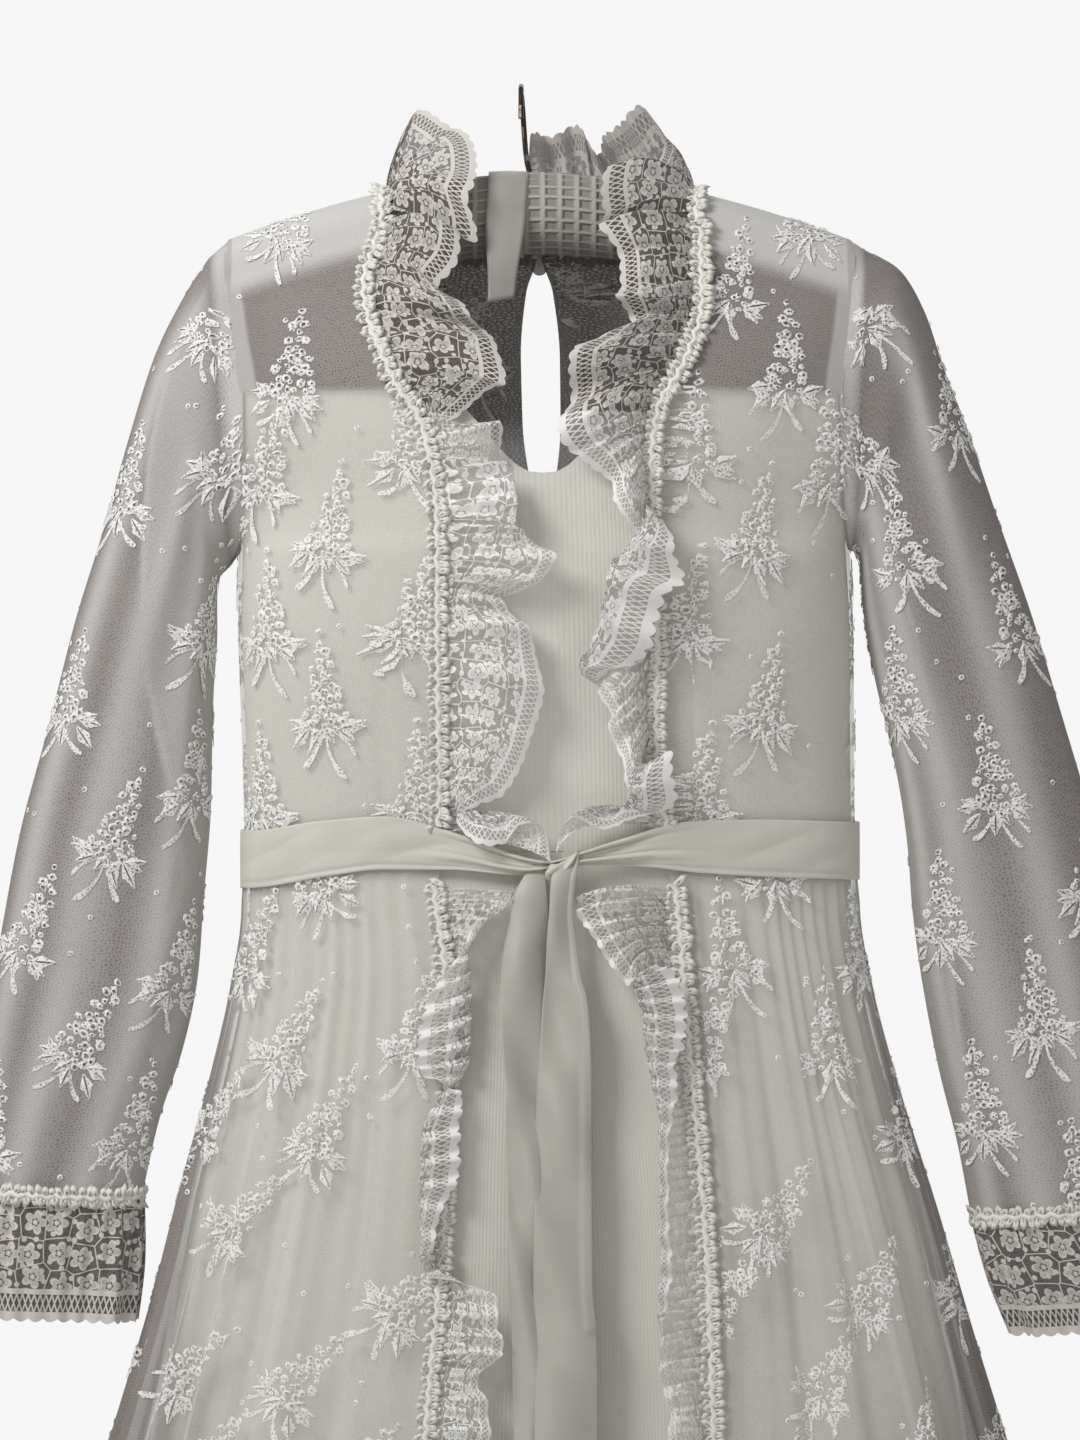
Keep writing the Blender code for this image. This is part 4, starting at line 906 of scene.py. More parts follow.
for side, side_name in ((LEFT, "left"), (RIGHT, "right")):
    for face, face_name in ((FRONT, "front"), (BACK, "back")):
        name = f"net_bodice_{face_name}_{side_name}"
        piece = cloth(name, *BODICE_GRID, lace_bodice(side, face), from_middle, (0.20, 0.40))
        # The back panels may fall to -2, so that their net above the crepe is painted darkest: painted shade
        # inside the dress's back.
        back_the_net(piece, bodice_backing, bodice_doubling, -1 if face == FRONT else -2)
        finish_piece(piece, sheer, "lace_net", f"lace_bodice_{face_name}_{side_name}")
        sprays = embroider(f"sprays_bodice_{face_name}_{side_name}", grid_of(piece, *BODICE_GRID),
                           lambda across, down: -8 * side, from_middle,
                           0.15 * MM if face == FRONT else -0.6 * MM)
        name = f"net_skirt_{face_name}_{side_name}"
        piece = cloth(name, *SKIRT_GRID, lace_skirt_panel(side, face), from_middle, (0.42, 1.03))
        back_the_net(piece, skirt_backing, skirt_crest_highlight, -2)
        finish_piece(piece, sheer, "lace_net", f"lace_skirt_{face_name}_{side_name}")
        sprays = embroider(f"sprays_skirt_{face_name}_{side_name}", grid_of(piece, *SKIRT_GRID),
                           lambda across, down: -38 * face * side * ease(down * 4), from_middle, spread=16)
    centre_line = smooth_curve([(row[1] + row[3], (row[0] + row[2]) / 2) for row in SLEEVE[side]])

    def from_sleeve(point, centre_line=centre_line):
        return Vector((point.x - centre_line(2 * point.z), point.y * 2, 0))

    def sleeve_doubling_and_highlight(vertex):
        """Paler places: painted highlights along the ridges of the long folds, the armhole's seam, and the
        net folded double from the sleeve's inner edge.
        """
        turn, down = place_on(vertex, SLEEVE_GRID)
        # Painted highlights along the ridges of the long folds.
        streak = max(math.exp(-((turn - lerp(first, last, down)) / (wide * 1.3)) ** 2)
                     for first, last, wide, _ in SLEEVE_FOLDS[side])
        ridges = max(streak * 0.5 * ease(down * 6), ease((0.028 - down) * 200) * 0.6)
        if turn >= 0.5:
            return ridges
        from_inner = (1 + math.cos(2 * math.pi * turn)) / 2
        table = SLEEVE_DOUBLE[side]
        limit = float(np.interp(down * (len(table) - 1), range(len(table)), table))
        inner = ease((limit - from_inner) * 30) * (0.38 if side == LEFT else 0.2) * ease(down * 9)
        edge = math.exp(-((from_inner - limit) / 0.025) ** 2) * 0.5 * ease(down * 9)
        return max(ridges, inner + edge)

    def sleeve_backing(vertex):
        """Nothing backs a sleeve, and its flattened edges are painted the darkest: painted shade at its
        sides.
        """
        edge = abs(math.cos(2 * math.pi * place_on(vertex, SLEEVE_GRID)[0]))
        return -20 * MM * (1 + 0.8 * ease((edge - 0.93) * 16))

    piece = cloth(f"net_sleeve_{side_name}", *SLEEVE_GRID, sleeve_surface(side), from_sleeve, (0.30, 0.58))
    back_the_net(piece, sleeve_backing, sleeve_doubling_and_highlight, -2)
    finish_piece(piece, sheer, "lace_net", f"sleeve_{side_name}")
    sprays = embroider(f"sprays_sleeve_{side_name}", grid_of(piece, *SLEEVE_GRID),
                       lambda across, down: 8 * side, from_sleeve, wrap=True)

# Ruffles: cotton lace edging 78 mm wide, gathered along its plain side and sewn under the braid, so that
# the scalloped side stands, folds and turns over as it falls. One strip on each side above and below the
# belt, one round the neck, which stands behind the hanger, and one on each cuff.
BODICE_RUFFLE = {
    LEFT: [
        # height of the root; x, height and stand of the fold; x, height and stand of the free edge
        (-85, -61, -80, 12, -37, -91, 9), (-95, -62, -94, 14, -37, -109, 12),
        (-109, -70, -110, 8, -50, -127, 5), (-119, -62, -124, 13, -34, -133, 16),
        (-131, -58, -136, 16, -30, -144, 18), (-145, -49, -146, 10, -19, -151, 8),
        (-157, -43, -158, 14, -14, -163, 12), (-169, -40, -172, 16, -7, -182, 18),
        (-179, -41, -182, 9, -20, -189, 8), (-190, -50, -193, 6, -38, -203, 4),
        (-200, -51, -202, 5, -49, -209, 3), (-206, -40, -206, 14, -27, -213, 10),
        (-213, -31, -209, 17, -13, -206, 14), (-221, -28, -220, 12, -11, -218, 8),
        (-231, -25, -230, 9, -16, -238, 5), (-241, -8, -233, 15, -16, -242, 6),
        (-250, -4, -247, 17, -20, -254, 5), (-259, -4, -260, 17, -19, -266, 5),
        (-267, -5, -269, 16, -5, -273, 10), (-275, -8, -275, 12, 8, -278, 16),
        (-283, -4, -284, 14, 21, -286, 18), (-291, -5, -295, 16, 14, -299, 16),
        (-298, -13, -301, 14, 2, -307, 10), (-304, -26, -307, 8, -11, -310, 5),
        (-311, -25, -313, 10, -8, -317, 6), (-321, -19, -320, 14, 3, -326, 12),
        (-333, -13, -333, 16, 8, -337, 14), (-347, -13, -349, 14, 14, -361, 12),
        (-365, -13, -367, 13, 12, -379, 11), (-380, -16, -385, 13, 6, -397, 11),
        (-395, -19, -398, 13, -1, -415, 11), (-410, -25, -412, 12, -11, -429, 10),
        (-422, -31, -422, 11, -26, -436, 8), (-431, -38, -433, 9, -38, -442, 7),
        (-437, -28, -440, 8, -26, -459, 13), (-440, -17, -442, 9, -10, -457, 14),
        (-443, -10, -439, 9, -1, -447, 11), (-447, -1, -448, 8, 15, -449, 9),
        (-452, -4, -459, 7, 18, -470, 7),
    ],
    RIGHT: [
        (-85, 77, -79, 12, 45, -88, 9), (-94, 80, -94, 14, 55, -99, 12), (-104, 83, -104, 10, 59, -112, 6),
        (-115, 83, -118, 14, 58, -124, 14), (-124, 85, -128, 16, 56, -131, 16),
        (-134, 86, -136, 12, 62, -139, 8), (-142, 85, -142, 10, 64, -148, 6),
        (-149, 74, -149, 15, 47, -155, 14), (-158, 65, -159, 18, 31, -161, 18),
        (-166, 61, -169, 14, 28, -176, 14), (-176, 59, -179, 10, 28, -193, 8),
        (-185, 56, -190, 13, 21, -208, 14), (-194, 55, -203, 17, 23, -219, 18),
        (-202, 58, -212, 14, 31, -226, 14), (-211, 64, -220, 8, 43, -236, 6),
        (-218, 65, -229, 10, 53, -242, 6), (-226, 67, -238, 13, 55, -254, 10),
        (-237, 70, -251, 14, 63, -266, 12), (-248, 74, -262, 12, 72, -274, 8),
        (-256, 77, -259, 16, 81, -264, 15), (-263, 74, -268, 18, 91, -275, 18),
        (-271, 67, -281, 18, 93, -287, 17), (-279, 58, -289, 17, 99, -301, 16),
        (-287, 52, -299, 18, 88, -311, 17), (-296, 49, -311, 18, 82, -325, 17),
        (-307, 47, -325, 18, 80, -340, 16), (-316, 39, -341, 17, 67, -350, 14),
        (-325, 37, -352, 15, 52, -356, 10), (-333, 47, -355, 10, 49, -362, 5),
        (-341, 61, -361, 12, 46, -369, 8), (-350, 62, -368, 15, 53, -379, 13),
        (-359, 64, -379, 12, 52, -388, 8), (-369, 67, -386, 12, 55, -398, 8),
        (-379, 69, -394, 14, 61, -410, 12), (-388, 71, -401, 15, 65, -425, 14),
        (-397, 70, -410, 16, 88, -400, 15), (-405, 65, -422, 16, 92, -415, 15),
        (-413, 64, -431, 14, 94, -431, 13), (-422, 67, -434, 10, 80, -439, 9),
        (-428, 62, -435, 9, 64, -445, 10), (-434, 55, -437, 9, 47, -448, 10),
        (-439, 47, -436, 9, 32, -443, 10), (-443, 41, -440, 9, 22, -453, 9), (-449, 38, -449, 8, 20, -470, 7),
    ],
}
HEM_RUFFLE_EDGE = {LEFT: (76, 24), RIGHT: (89, 23)}  # the front edge's place at 815 mm, and its flare below
HEM_RUFFLE_REACH, HEM_RUFFLE_STAND = [20, 34, 24, 15, 30, 38, 22, 12], [9, 14, 12, 7, 13, 16, 9, 7]


def hem_ruffle(side, start):
    """The same rows carried on to the hem, 34 mm apart. The order of their folds repeats after eight."""
    rows = []
    for number, z in enumerate([*range(start, -1490, -34), -1490]):
        turn = (number * 3 + (side > 0)) % 8
        reach, stand = HEM_RUFFLE_REACH[turn], HEM_RUFFLE_STAND[turn]
        near, flare = HEM_RUFFLE_EDGE[side]
        edge = near + (z + 815) / (-1494 + 815) * flare
        rows.append((z, round(22.5 + side * (edge - reach * 0.55)), z - 3, stand,
                     round(22.5 + side * (edge - reach)), z - 8 if z > -1480 else z,
                     stand + (-2 if number % 2 else 3)))
    return rows


SKIRT_RUFFLE = {
    LEFT: [
        (-484, -13, -485, 8, -4, -487, 7), (-494, -16, -494, 12, -14, -500, 12),
        (-503, -23, -505, 13, -28, -503, 16), (-515, -31, -518, 12, -36, -521, 16),
        (-527, -31, -530, 11, -49, -538, 16), (-542, -31, -544, 10, -58, -554, 15),
        (-559, -31, -560, 10, -62, -572, 15), (-577, -32, -578, 9, -64, -586, 13),
        (-592, -35, -595, 9, -57, -595, 13), (-605, -49, -608, 12, -35, -605, 12),
        (-623, -58, -626, 15, -35, -622, 12), (-641, -59, -644, 16, -35, -640, 12),
        (-657, -60, -659, 16, -36, -656, 12), (-673, -60, -674, 16, -46, -674, 14),
        (-689, -59, -692, 15, -51, -695, 14), (-706, -56, -706, 12, -56, -711, 12),
        (-722, -31, -719, 10, -17, -722, 14), (-737, -28, -739, 13, -13, -740, 15),
        (-755, -26, -755, 12, -10, -757, 13), (-771, -35, -771, 8, -25, -771, 7),
        (-788, -32, -788, 13, -19, -788, 13), (-809, -33, -809, 12, -19, -813, 12),
        *hem_ruffle(LEFT, -846),
    ],
    RIGHT: [
        (-484, 59, -482, 8, 34, -488, 8), (-494, 61, -494, 10, 32, -499, 9),
        (-503, 64, -506, 12, 43, -514, 12), (-514, 68, -515, 12, 52, -529, 12),
        (-524, 71, -524, 12, 65, -542, 12), (-532, 71, -536, 16, 80, -530, 17),
        (-539, 67, -541, 18, 91, -531, 18), (-547, 69, -548, 18, 98, -545, 17),
        (-557, 72, -559, 18, 100, -562, 16), (-571, 73, -573, 17, 98, -577, 15),
        (-584, 75, -586, 16, 93, -587, 14), (-599, 78, -601, 16, 94, -602, 14),
        (-614, 82, -616, 16, 91, -617, 15), (-632, 83, -634, 15, 88, -635, 16),
        (-656, 83, -658, 14, 88, -661, 15), (-680, 83, -682, 14, 88, -685, 15),
        (-704, 84, -706, 13, 90, -707, 14), (-728, 83, -730, 14, 86, -733, 15),
        (-749, 89, -751, 12, 82, -755, 14), (-770, 92, -771, 9, 83, -775, 10),
        (-791, 95, -791, 12, 88, -794, 8), (-812, 98, -812, 14, 85, -815, 14),
        *hem_ruffle(RIGHT, -849),
    ],
}
NECK_RUFFLE = [
    # share of the way round the neck, from the left front; the free edge's place; the strip's bulge
    (0.00, -38, -34, -92, 4), (0.02, -25, -37, -94, 6), (0.04, -31, -41, -75, 9), (0.055, -27, -38, -59, 9),
    (0.07, -26, -24, -43, 8), (0.09, -34, -10, -28, 6), (0.115, -49, 0, -16, 4), (0.14, -65, 10, -14, 6),
    (0.17, -74, 20, -32, 9), (0.20, -70, 32, -41, 8), (0.25, -54, 36, -42, 9), (0.33, -30, 34, -57, 8),
    (0.42, -10, 36, -57, 10), (0.47, 4, 34, -47, 8), (0.50, 6, 34, -22, 8), (0.53, 17, 42, -23, 11),
    (0.58, 34, 38, -16, 9), (0.62, 40, 30, -26, 7), (0.66, 47, 36, -35, 9), (0.72, 50, 42, -22, 10),
    (0.78, 59, 30, -17, 8), (0.82, 68, 18, -8, 6), (0.86, 79, 6, -14, 6), (0.89, 86, -4, -37, 8),
    (0.92, 77, -22, -50, 10), (0.945, 53, -36, -53, 10), (0.965, 47, -41, -65, 8), (0.985, 49, -38, -79, 8),
    (1.00, 45, -34, -92, 5),
]
STRIP, FULLNESS = 78 * MM, 1.7
CUFF_EDGE, NECK_EDGE, SKIRT_SHOWN = 0.30, 0.36, 50 * MM
CUFF_LEAN = {LEFT: 0.06, RIGHT: 0.34}


def through(root, fold, edge, share):
    """A smooth line from the root over the fold to the free edge."""
    return (root * (2 * (share - 0.5) * (share - 1)) + fold * (4 * share * (1 - share))
            + edge * (2 * share * (share - 0.5)))


def gathers(along, share, seed):
    """Small pleats from the gathered side, which open out towards the free edge."""
    tight = math.sin(2 * math.pi * along / (7.5 * MM) + 2 * math.sin(along * 60 + seed))
    loose = math.sin(2 * math.pi * along / (19 * MM) + seed + 1.5 * math.sin(along * 31))
    return (2.4 * MM * tight * (1 - share) * ease(share * 8)
            + 3.6 * MM * loose * ease(share * 1.6) * (1 - 0.4 * share))


def lengths_along(points):
    """How far along a line of points each of them lies."""
    lengths = [0]
    for before, after in zip(points, points[1:]):
        lengths.append(lengths[-1] + (after - before).length)
    return lengths


def measure_edge(piece, columns):
    """Lays the pattern out by the free edge's own length, so that the strip is gathered only at its root."""
    lengths = lengths_along([vertex.co for vertex in piece.data.vertices][:columns + 1])
    layer = piece.data.uv_layers[0].data
    for loop in piece.data.loops:
        layer[loop.index].uv.x = lengths[loop.vertex_index % (columns + 1)]


def front_ruffle(side, rows):
    length = (rows[0][0] - rows[-1][0]) * MM

    def place(along, share):
        root_z, fold_x, fold_z, fold_stand, edge_x, edge_z, edge_stand = (
            value * MM for value in blend_rows(rows, along))
        root_x = middle(root_z) + side * (front_edge(side, root_z) - 1 * MM)
        points = []
        for x, z, stand in ((root_x, root_z, 0.3 * MM), (fold_x, fold_z, fold_stand),
                            (edge_x, edge_z, edge_stand)):
            points.append(Vector((x, front_y(x - middle(z), z) - stand, z)))
        point = through(*points, share)
        ripple = gathers(along * length, share, side + len(rows))
        return point + Vector((-side * 0.3 * ripple, -ripple, 0.5 * ripple))

    return place


def neck_path():
    """Places along the neckline from the left front, over the bar and behind the neck, to the right front."""
    roll = shoulder_roll(NECK_X, LACE_LIFT)
    top = ridge(NECK_X, LACE_LIFT)
    half = [(NECK_X, roll * math.sin(turn), top - roll * (1 - math.cos(turn)))
            for turn in (math.radians(degrees) for degrees in range(-90, 89, 8))]
    for x in (92, 86, 78, 68, 56, 44, 32, 20, 8):
        z = neck_height(x * MM)
        half.append((x * MM, bodice_y(x * MM, z, BACK, LACE_LIFT), z))
    return ([Vector((middle(z) - x, y, z)) for x, y, z in half]
            + [Vector((middle(z) + x, y, z)) for x, y, z in reversed(half)])


def resample(path, count):
    """Evenly spaced points along a line of points."""
    lengths = lengths_along(path)
    points = []
    for number in range(count):
        at = lengths[-1] * number / (count - 1)
        index = min(bisect_right(lengths, at) - 1, len(path) - 2)
        part = (at - lengths[index]) / (lengths[index + 1] - lengths[index])
        points.append(path[index].lerp(path[index + 1], part))
    return points


neckline = resample(neck_path(), 600)
neck_shares = [row[0] for row in NECK_RUFFLE]


def neck_out(point):
    """The way the lace faces at a place on the neckline."""
    x = abs(point.x - middle(point.z))
    turn = math.atan2(point.y, max(point.z - bar_top(x) + bar_radius(x), 0))
    return Vector((0, math.sin(turn), math.cos(turn)))


def neck_ruffle(along, share):
    index = min(max(bisect_right(neck_shares, along) - 1, 0), len(NECK_RUFFLE) - 2)
    part = (along - neck_shares[index]) / (neck_shares[index + 1] - neck_shares[index])
    x, y, z, bulge = (value * MM for value in blend_rows([row[1:] for row in NECK_RUFFLE],
                                                         (index + part) / (len(NECK_RUFFLE) - 1)))
    last = len(neckline) - 1
    at = (along * 0.93 + 0.035) * last
    root = neckline[min(int(at), last)].lerp(neckline[min(int(at) + 1, last)], at % 1)
    out = neck_out(root)
    root = root + out * 0.5 * MM
    edge = Vector((x, y, z))
    sideways = Vector((1 if root.x > middle(root.z) else -1, 0, 0)) * (1 - abs(2 * abs(along - 0.5) - 0.5))
    fold = root.lerp(edge, 0.5) + (out + sideways * 0.5 + Vector((0, 0, 0.3))).normalized() * bulge
    ripple = gathers(along * NECK_EDGE, share, 3)
    return through(root, fold, edge, share) + out * ripple + Vector((0, ripple * 0.5, ripple * 0.3))


def cuff_ruffle(side):
    last = SLEEVE[side][-1]
    down = Vector((side * CUFF_LEAN[side], 0, -1)).normalized()

    def place(turn, share):
        moved = down * share * 80
        row = (last[0] + moved.x, last[1] + moved.z, last[2] + moved.x, last[3] + moved.z, last[4])
        wave = 4 * math.cos(2 * math.pi * 9 * turn + 3 * math.sin(4 * math.pi * turn)) * ease(share * 1.2)
        wave += 1.5 * math.sin(2 * math.pi * 31 * turn + 4 * math.sin(2 * math.pi * turn)) * (1 - 0.5 * share)
        flare = (2 + 4 * ease(share * 1.5) - 7 * ease(share - 0.2) + wave * ease(share * 6)) * MM
        point = laid_point(row, turn % 1, flare)
        reach = Vector((row[0] - row[2], 0, row[1] - row[3])).normalized()
        return point + reach * flare * 0.6 * math.cos(2 * math.pi * turn)

    return place


# Cotton lace edging: a fine net ground, flowers outlined with a cord, a ladder of twisted bars, and a row
# of close scallops. The ground's holes are drawn 2.0 mm wide and the ladder's bars 3.6 mm apart, so that
# they show.
lace, tree, shader = cloth_material("cotton_lace_edging", "#F1F0ED", 0.78, 0.2)
uv = node(tree, "UVMap")
spot = node(tree, "SeparateXYZ", {0: uv})
along, across = spot.outputs[0], spot.outputs[1]
behind = node(tree, "Attribute", attribute_name="backed").outputs["Fac"]


def between(low, high):
    """1 where the strip's width lies between two places."""
    above = node(tree, "Math", {0: across, 1: low}, operation="GREATER_THAN")
    below = node(tree, "Math", {0: across, 1: high}, operation="LESS_THAN")
    return node(tree, "Math", {0: above, 1: below}, operation="MULTIPLY")


flower = node(tree, "TexVoronoi", {"Vector": uv, "Scale": 60.0, "Randomness": 0.5}, voronoi_dimensions="2D")
spoke = node(tree, "VectorMath", {0: uv, 1: flower.outputs["Position"]}, operation="SUBTRACT")
way = node(tree, "SeparateXYZ", {0: spoke})
turned = node(tree, "Math", {0: way.outputs[1], 1: way.outputs[0]}, operation="ARCTAN2")
swing = node(tree, "Math", {0: node(tree, "Math", {0: turned, 1: 2.5}, operation="MULTIPLY")},
             operation="COSINE")
reach = node(tree, "Math", {0: node(tree, "Math", {0: swing}, operation="ABSOLUTE"), 1: 0.0034, 2: 0.0040},
             operation="MULTIPLY_ADD")
out = node(tree, "Math", {0: node(tree, "VectorMath", {0: spoke}, operation="LENGTH").outputs["Value"],
                          1: reach}, operation="DIVIDE")
petal = node(tree, "Math", {0: out, 1: 1.0}, operation="LESS_THAN")
eye = node(tree, "Math", {0: out, 1: 0.3, 2: 0.07}, operation="COMPARE")
netting = node(tree, "TexVoronoi", {"Vector": uv, "Scale": 500.0}, voronoi_dimensions="2D",
               feature="DISTANCE_TO_EDGE")
ground = node(tree, "MapRange", {0: netting, 1: 0.04, 2: 0.15, 3: 0.6, 4: 0.08})
close = node(tree, "MapRange", {0: node(tree, "Math", {0: out, 1: 0.6, 2: 0.16}, operation="COMPARE"),
                                3: 1.0, 4: 0.82})
leaves = node(tree, "TexVoronoi", {"Vector": uv, "Scale": 125.0, "Randomness": 0.9}, voronoi_dimensions="2D")
leaf = node(tree, "Math", {0: leaves.outputs[0], 1: 0.2}, operation="LESS_THAN")
trail = node(tree, "TexVoronoi", {"Vector": uv, "Scale": 60.0, "Randomness": 0.5}, voronoi_dimensions="2D",
             feature="DISTANCE_TO_EDGE")
cord = node(tree, "Math", {0: trail, 1: 0.022}, operation="LESS_THAN")
filled = node(tree, "Math", {0: petal, 1: close}, operation="MULTIPLY")
between_them = node(tree, "Math", {0: leaf, 1: cord}, operation="MAXIMUM")
heart = node(tree, "Math", {0: node(tree, "Math", {0: filled, 1: between_them}, operation="MAXIMUM"), 1: eye},
             operation="SUBTRACT", use_clamp=True)
thin = node(tree, "MapRange", {0: behind, 3: 0.3, 4: 1.0})
field = node(tree, "Math", {0: heart, 1: node(tree, "Math", {0: ground, 1: thin}, operation="MULTIPLY")},
             operation="MAXIMUM")
bars = node(tree, "Math", {0: node(tree, "Math", {0: along, 1: 560.0}, operation="MULTIPLY"), 1: 1.0},
            operation="PINGPONG")
steps = node(tree, "Math", {0: node(tree, "Math", {0: across, 1: 192.0, 2: -11.7}, operation="MULTIPLY_ADD"),
                            1: 1.0}, operation="PINGPONG")
twist = node(tree, "Math", {0: bars, 1: steps, 2: 0.27}, operation="COMPARE")
rail = between(0.0575, 0.0608)
lower_rail = between(0.0712, 0.082)
ladder = node(tree, "Math", {0: between(0.0608, 0.0712), 1: twist}, operation="MULTIPLY")
heading = between(-0.001, 0.0028)
flowers = node(tree, "Math", {0: between(0.0028, 0.0575), 1: field}, operation="MULTIPLY")
solid = node(tree, "Math", {0: node(tree, "Math", {0: rail, 1: lower_rail}, operation="ADD"), 1: heading},
             operation="ADD")
open_work = node(tree, "Math", {0: ladder, 1: flowers}, operation="ADD")
weave = node(tree, "Math", {0: solid, 1: open_work}, operation="ADD", use_clamp=True)
scallop = node(tree, "Math", {0: node(tree, "Math", {0: along, 1: 350.0}, operation="MULTIPLY")},
               operation="SINE")
bow = node(tree, "Math", {0: node(tree, "Math", {0: scallop}, operation="ABSOLUTE"), 1: 0.0021, 2: 0.0752},
           operation="MULTIPLY_ADD")
within = node(tree, "Math", {0: across, 1: bow}, operation="LESS_THAN")
# Where nothing backs the lace, its holes are painted dark brown and nearly opaque and its threads greyer:
# painted shade. Over the crepe the holes are painted pale and half opaque: painted light over the ruffle's
# own shadow on the crepe.
open_cover = node(tree, "MapRange", {0: behind, 3: 0.86, 4: 0.42})
cover = node(tree, "Math", {0: weave, 1: open_cover}, operation="MAXIMUM")
opacity = node(tree, "Math", {0: cover, 1: within}, operation="MULTIPLY")
holes = node(tree, "MixRGB", {0: behind, 1: rgb("#574E48"), 2: rgb("#C9C6BD")})
thread = node(tree, "MixRGB", {0: behind, 1: rgb("#D9D3CE"), 2: rgb("#F4F3F0")})
tone = node(tree, "MixRGB", {0: weave, 1: holes, 2: thread})
fuzz = node(tree, "TexNoise", {"Vector": uv, "Scale": 800.0, "Detail": 2.0})
relief = node(tree, "Math", {0: fuzz, 1: 0.35, 2: weave}, operation="MULTIPLY_ADD")
bump = node(tree, "Bump", {"Height": relief, "Strength": 0.8, "Distance": 0.0009})
join(tree, shader, {"Base Color": tone, "Alpha": opacity, "Normal": bump})

for side, side_name in ((LEFT, "left"), (RIGHT, "right")):
    for name, rows, columns, shown in (("bodice", BODICE_RUFFLE[side], 520, STRIP),
                                       ("skirt", SKIRT_RUFFLE[side], 900, SKIRT_SHOWN)):
        length = (rows[0][0] - rows[-1][0]) * MM
        piece = cloth(f"lace_edging_{name}_{side_name}", columns, 22, front_ruffle(side, rows),
                      lambda point: Vector((0, -1, 0)), (length * FULLNESS, STRIP))
        measure_edge(piece, columns)
        # Below 200 mm down, the ruffles count as lying over the crepe, which paints them pale; above, they
        # are painted dark: painted light and painted shade.
        back_the_net(piece, lambda vertex: 20 * MM if vertex.co.z < -200 * MM else -20 * MM)
        finish_piece(piece, lace, "lace_white", f"ruffle_{name}_{side_name}")
    piece = cloth(f"lace_edging_cuff_{side_name}", 420, 22, cuff_ruffle(side),
                  lambda point: Vector((0, point.y, 0)), (CUFF_EDGE * FULLNESS, STRIP))
    measure_edge(piece, 420)
    back_the_net(piece, lambda vertex: 0)
    finish_piece(piece, lace, "lace_white", f"ruffle_cuff_{side_name}")
piece = cloth("lace_edging_neck", 560, 24, neck_ruffle, lambda point: Vector((0, point.y, 0)),
              (NECK_EDGE * FULLNESS, STRIP))
measure_edge(piece, 560)
back_the_net(piece, lambda vertex: 0)
finish_piece(piece, lace, "lace_white", "ruffle_neck")

# Braid: looped cotton gimp, hand-sewn over every raw edge that the ruffles are sewn to. Its cord runs in
# close loops to both sides of a twisted core, so its edge is a row of small soft knots. It is 15 mm wide
# over the loops.
GIMP_STEP, GIMP_HALF, GIMP_LIFT = 4.3 * MM, 2.7 * MM, 5.2 * MM
gimp_thread, tree, shader = cloth_material("looped_cotton_gimp", "#EFECE4", 0.85, 0.35)
place = node(tree, "TexCoord").outputs["Object"]
strand = node(tree, "TexNoise", {"Vector": place, "Scale": 1500.0, "Detail": 2.0})
cloud = node(tree, "TexNoise", {"Vector": place, "Scale": 160.0, "Detail": 2.0})
tone = node(tree, "MixRGB", {0: cloud, 1: rgb("#E9E6DC"), 2: rgb("#F8F7F1")})
bump = node(tree, "Bump", {"Height": strand, "Strength": 0.6, "Distance": 0.0004})
join(tree, shader, {"Base Color": tone, "Normal": bump})


def gimp_loop(wide, tall, cord):
    """One loop of cord, as a ring of six links with three sides."""
    points, faces = [], []
    for k in range(6):
        turn = math.pi / 3 * k
        for j in range(3):
            tube = 2 * math.pi * j / 3 + 0.5
            reach = 1 + cord / tall * math.cos(tube)
            points.append((wide * math.cos(turn) * reach, tall * math.sin(turn) * reach,
                           cord * math.sin(tube)))
            after = (k + 1) % 6
            faces.append((3 * k + j, 3 * after + j, 3 * after + (j + 1) % 3, 3 * k + (j + 1) % 3))
    return np.array(points), faces


def gimp(name, path, out_of, replaced):
    """Braid along a path: out_of(point) gives the way that the cloth below it faces."""
    stations = resample(path, int(lengths_along(path)[-1] / GIMP_STEP) + 1)
    ring, links = gimp_loop(2.2 * MM, 1.15 * MM, 1.6 * MM)
    points, faces, core = [], [], []
    for number, point in enumerate(stations):
        along = (stations[min(number + 1, len(stations) - 1)] - stations[max(number - 1, 0)]).normalized()
        out = out_of(point).normalized()
        away = along.cross(out).normalized()
        out = away.cross(along)
        for way in (1, -1):
            lean = random.uniform(-0.7, 0.7)
            lift = random.uniform(-0.3, 1.0) * MM
            stretch = random.uniform(0.75, 1.4)
            centre = point + away * way * (GIMP_HALF + random.uniform(-0.6, 0.7) * MM) + out * lift
            centre += along * (way * 0.25 * GIMP_STEP + random.uniform(-0.6, 0.6) * MM)
            side_axis = np.array(away * math.cos(lean) + along * math.sin(lean)) * way
            up_axis = np.array(along * math.cos(lean) - away * math.sin(lean))
            tip = random.uniform(0.1, 0.7)
            flat_axis = side_axis * math.cos(tip) + np.array(out) * math.sin(tip)
            normal_axis = np.cross(flat_axis, up_axis)
            start = len(points)
            placed = (np.array(centre) + ring[:, :1] * stretch * flat_axis + ring[:, 1:2] * up_axis
                      + ring[:, 2:3] * normal_axis)
            points.extend(placed.tolist())
            faces.extend([tuple(corner + start for corner in link) for link in links])
        core.append((point + away * 1.2 * MM * (-1) ** number + out * random.uniform(0.2, 1.0) * MM,
                     away, out))
    start = len(points)
    for point, away, out in core:
        for j in range(4):
            turn = math.pi / 2 * j
            points.append(tuple(point + away * 2.3 * MM * math.cos(turn) + out * 1.3 * MM * math.sin(turn)))
    for number in range(len(core) - 1):
        for j in range(4):
            after = (j + 1) % 4
            faces.append((start + 4 * number + j, start + 4 * number + after,
                          start + 4 * number + 4 + after, start + 4 * number + 4 + j))
    piece = worked_piece(name, points, faces)
    mend(piece.data, merge=False)
    piece.data.shade_smooth()
    return finish_piece(piece, gimp_thread, "braid", replaced)


def to_front(point):
    return Vector((0, -1, 0.2 * (point.z > -92 * MM)))


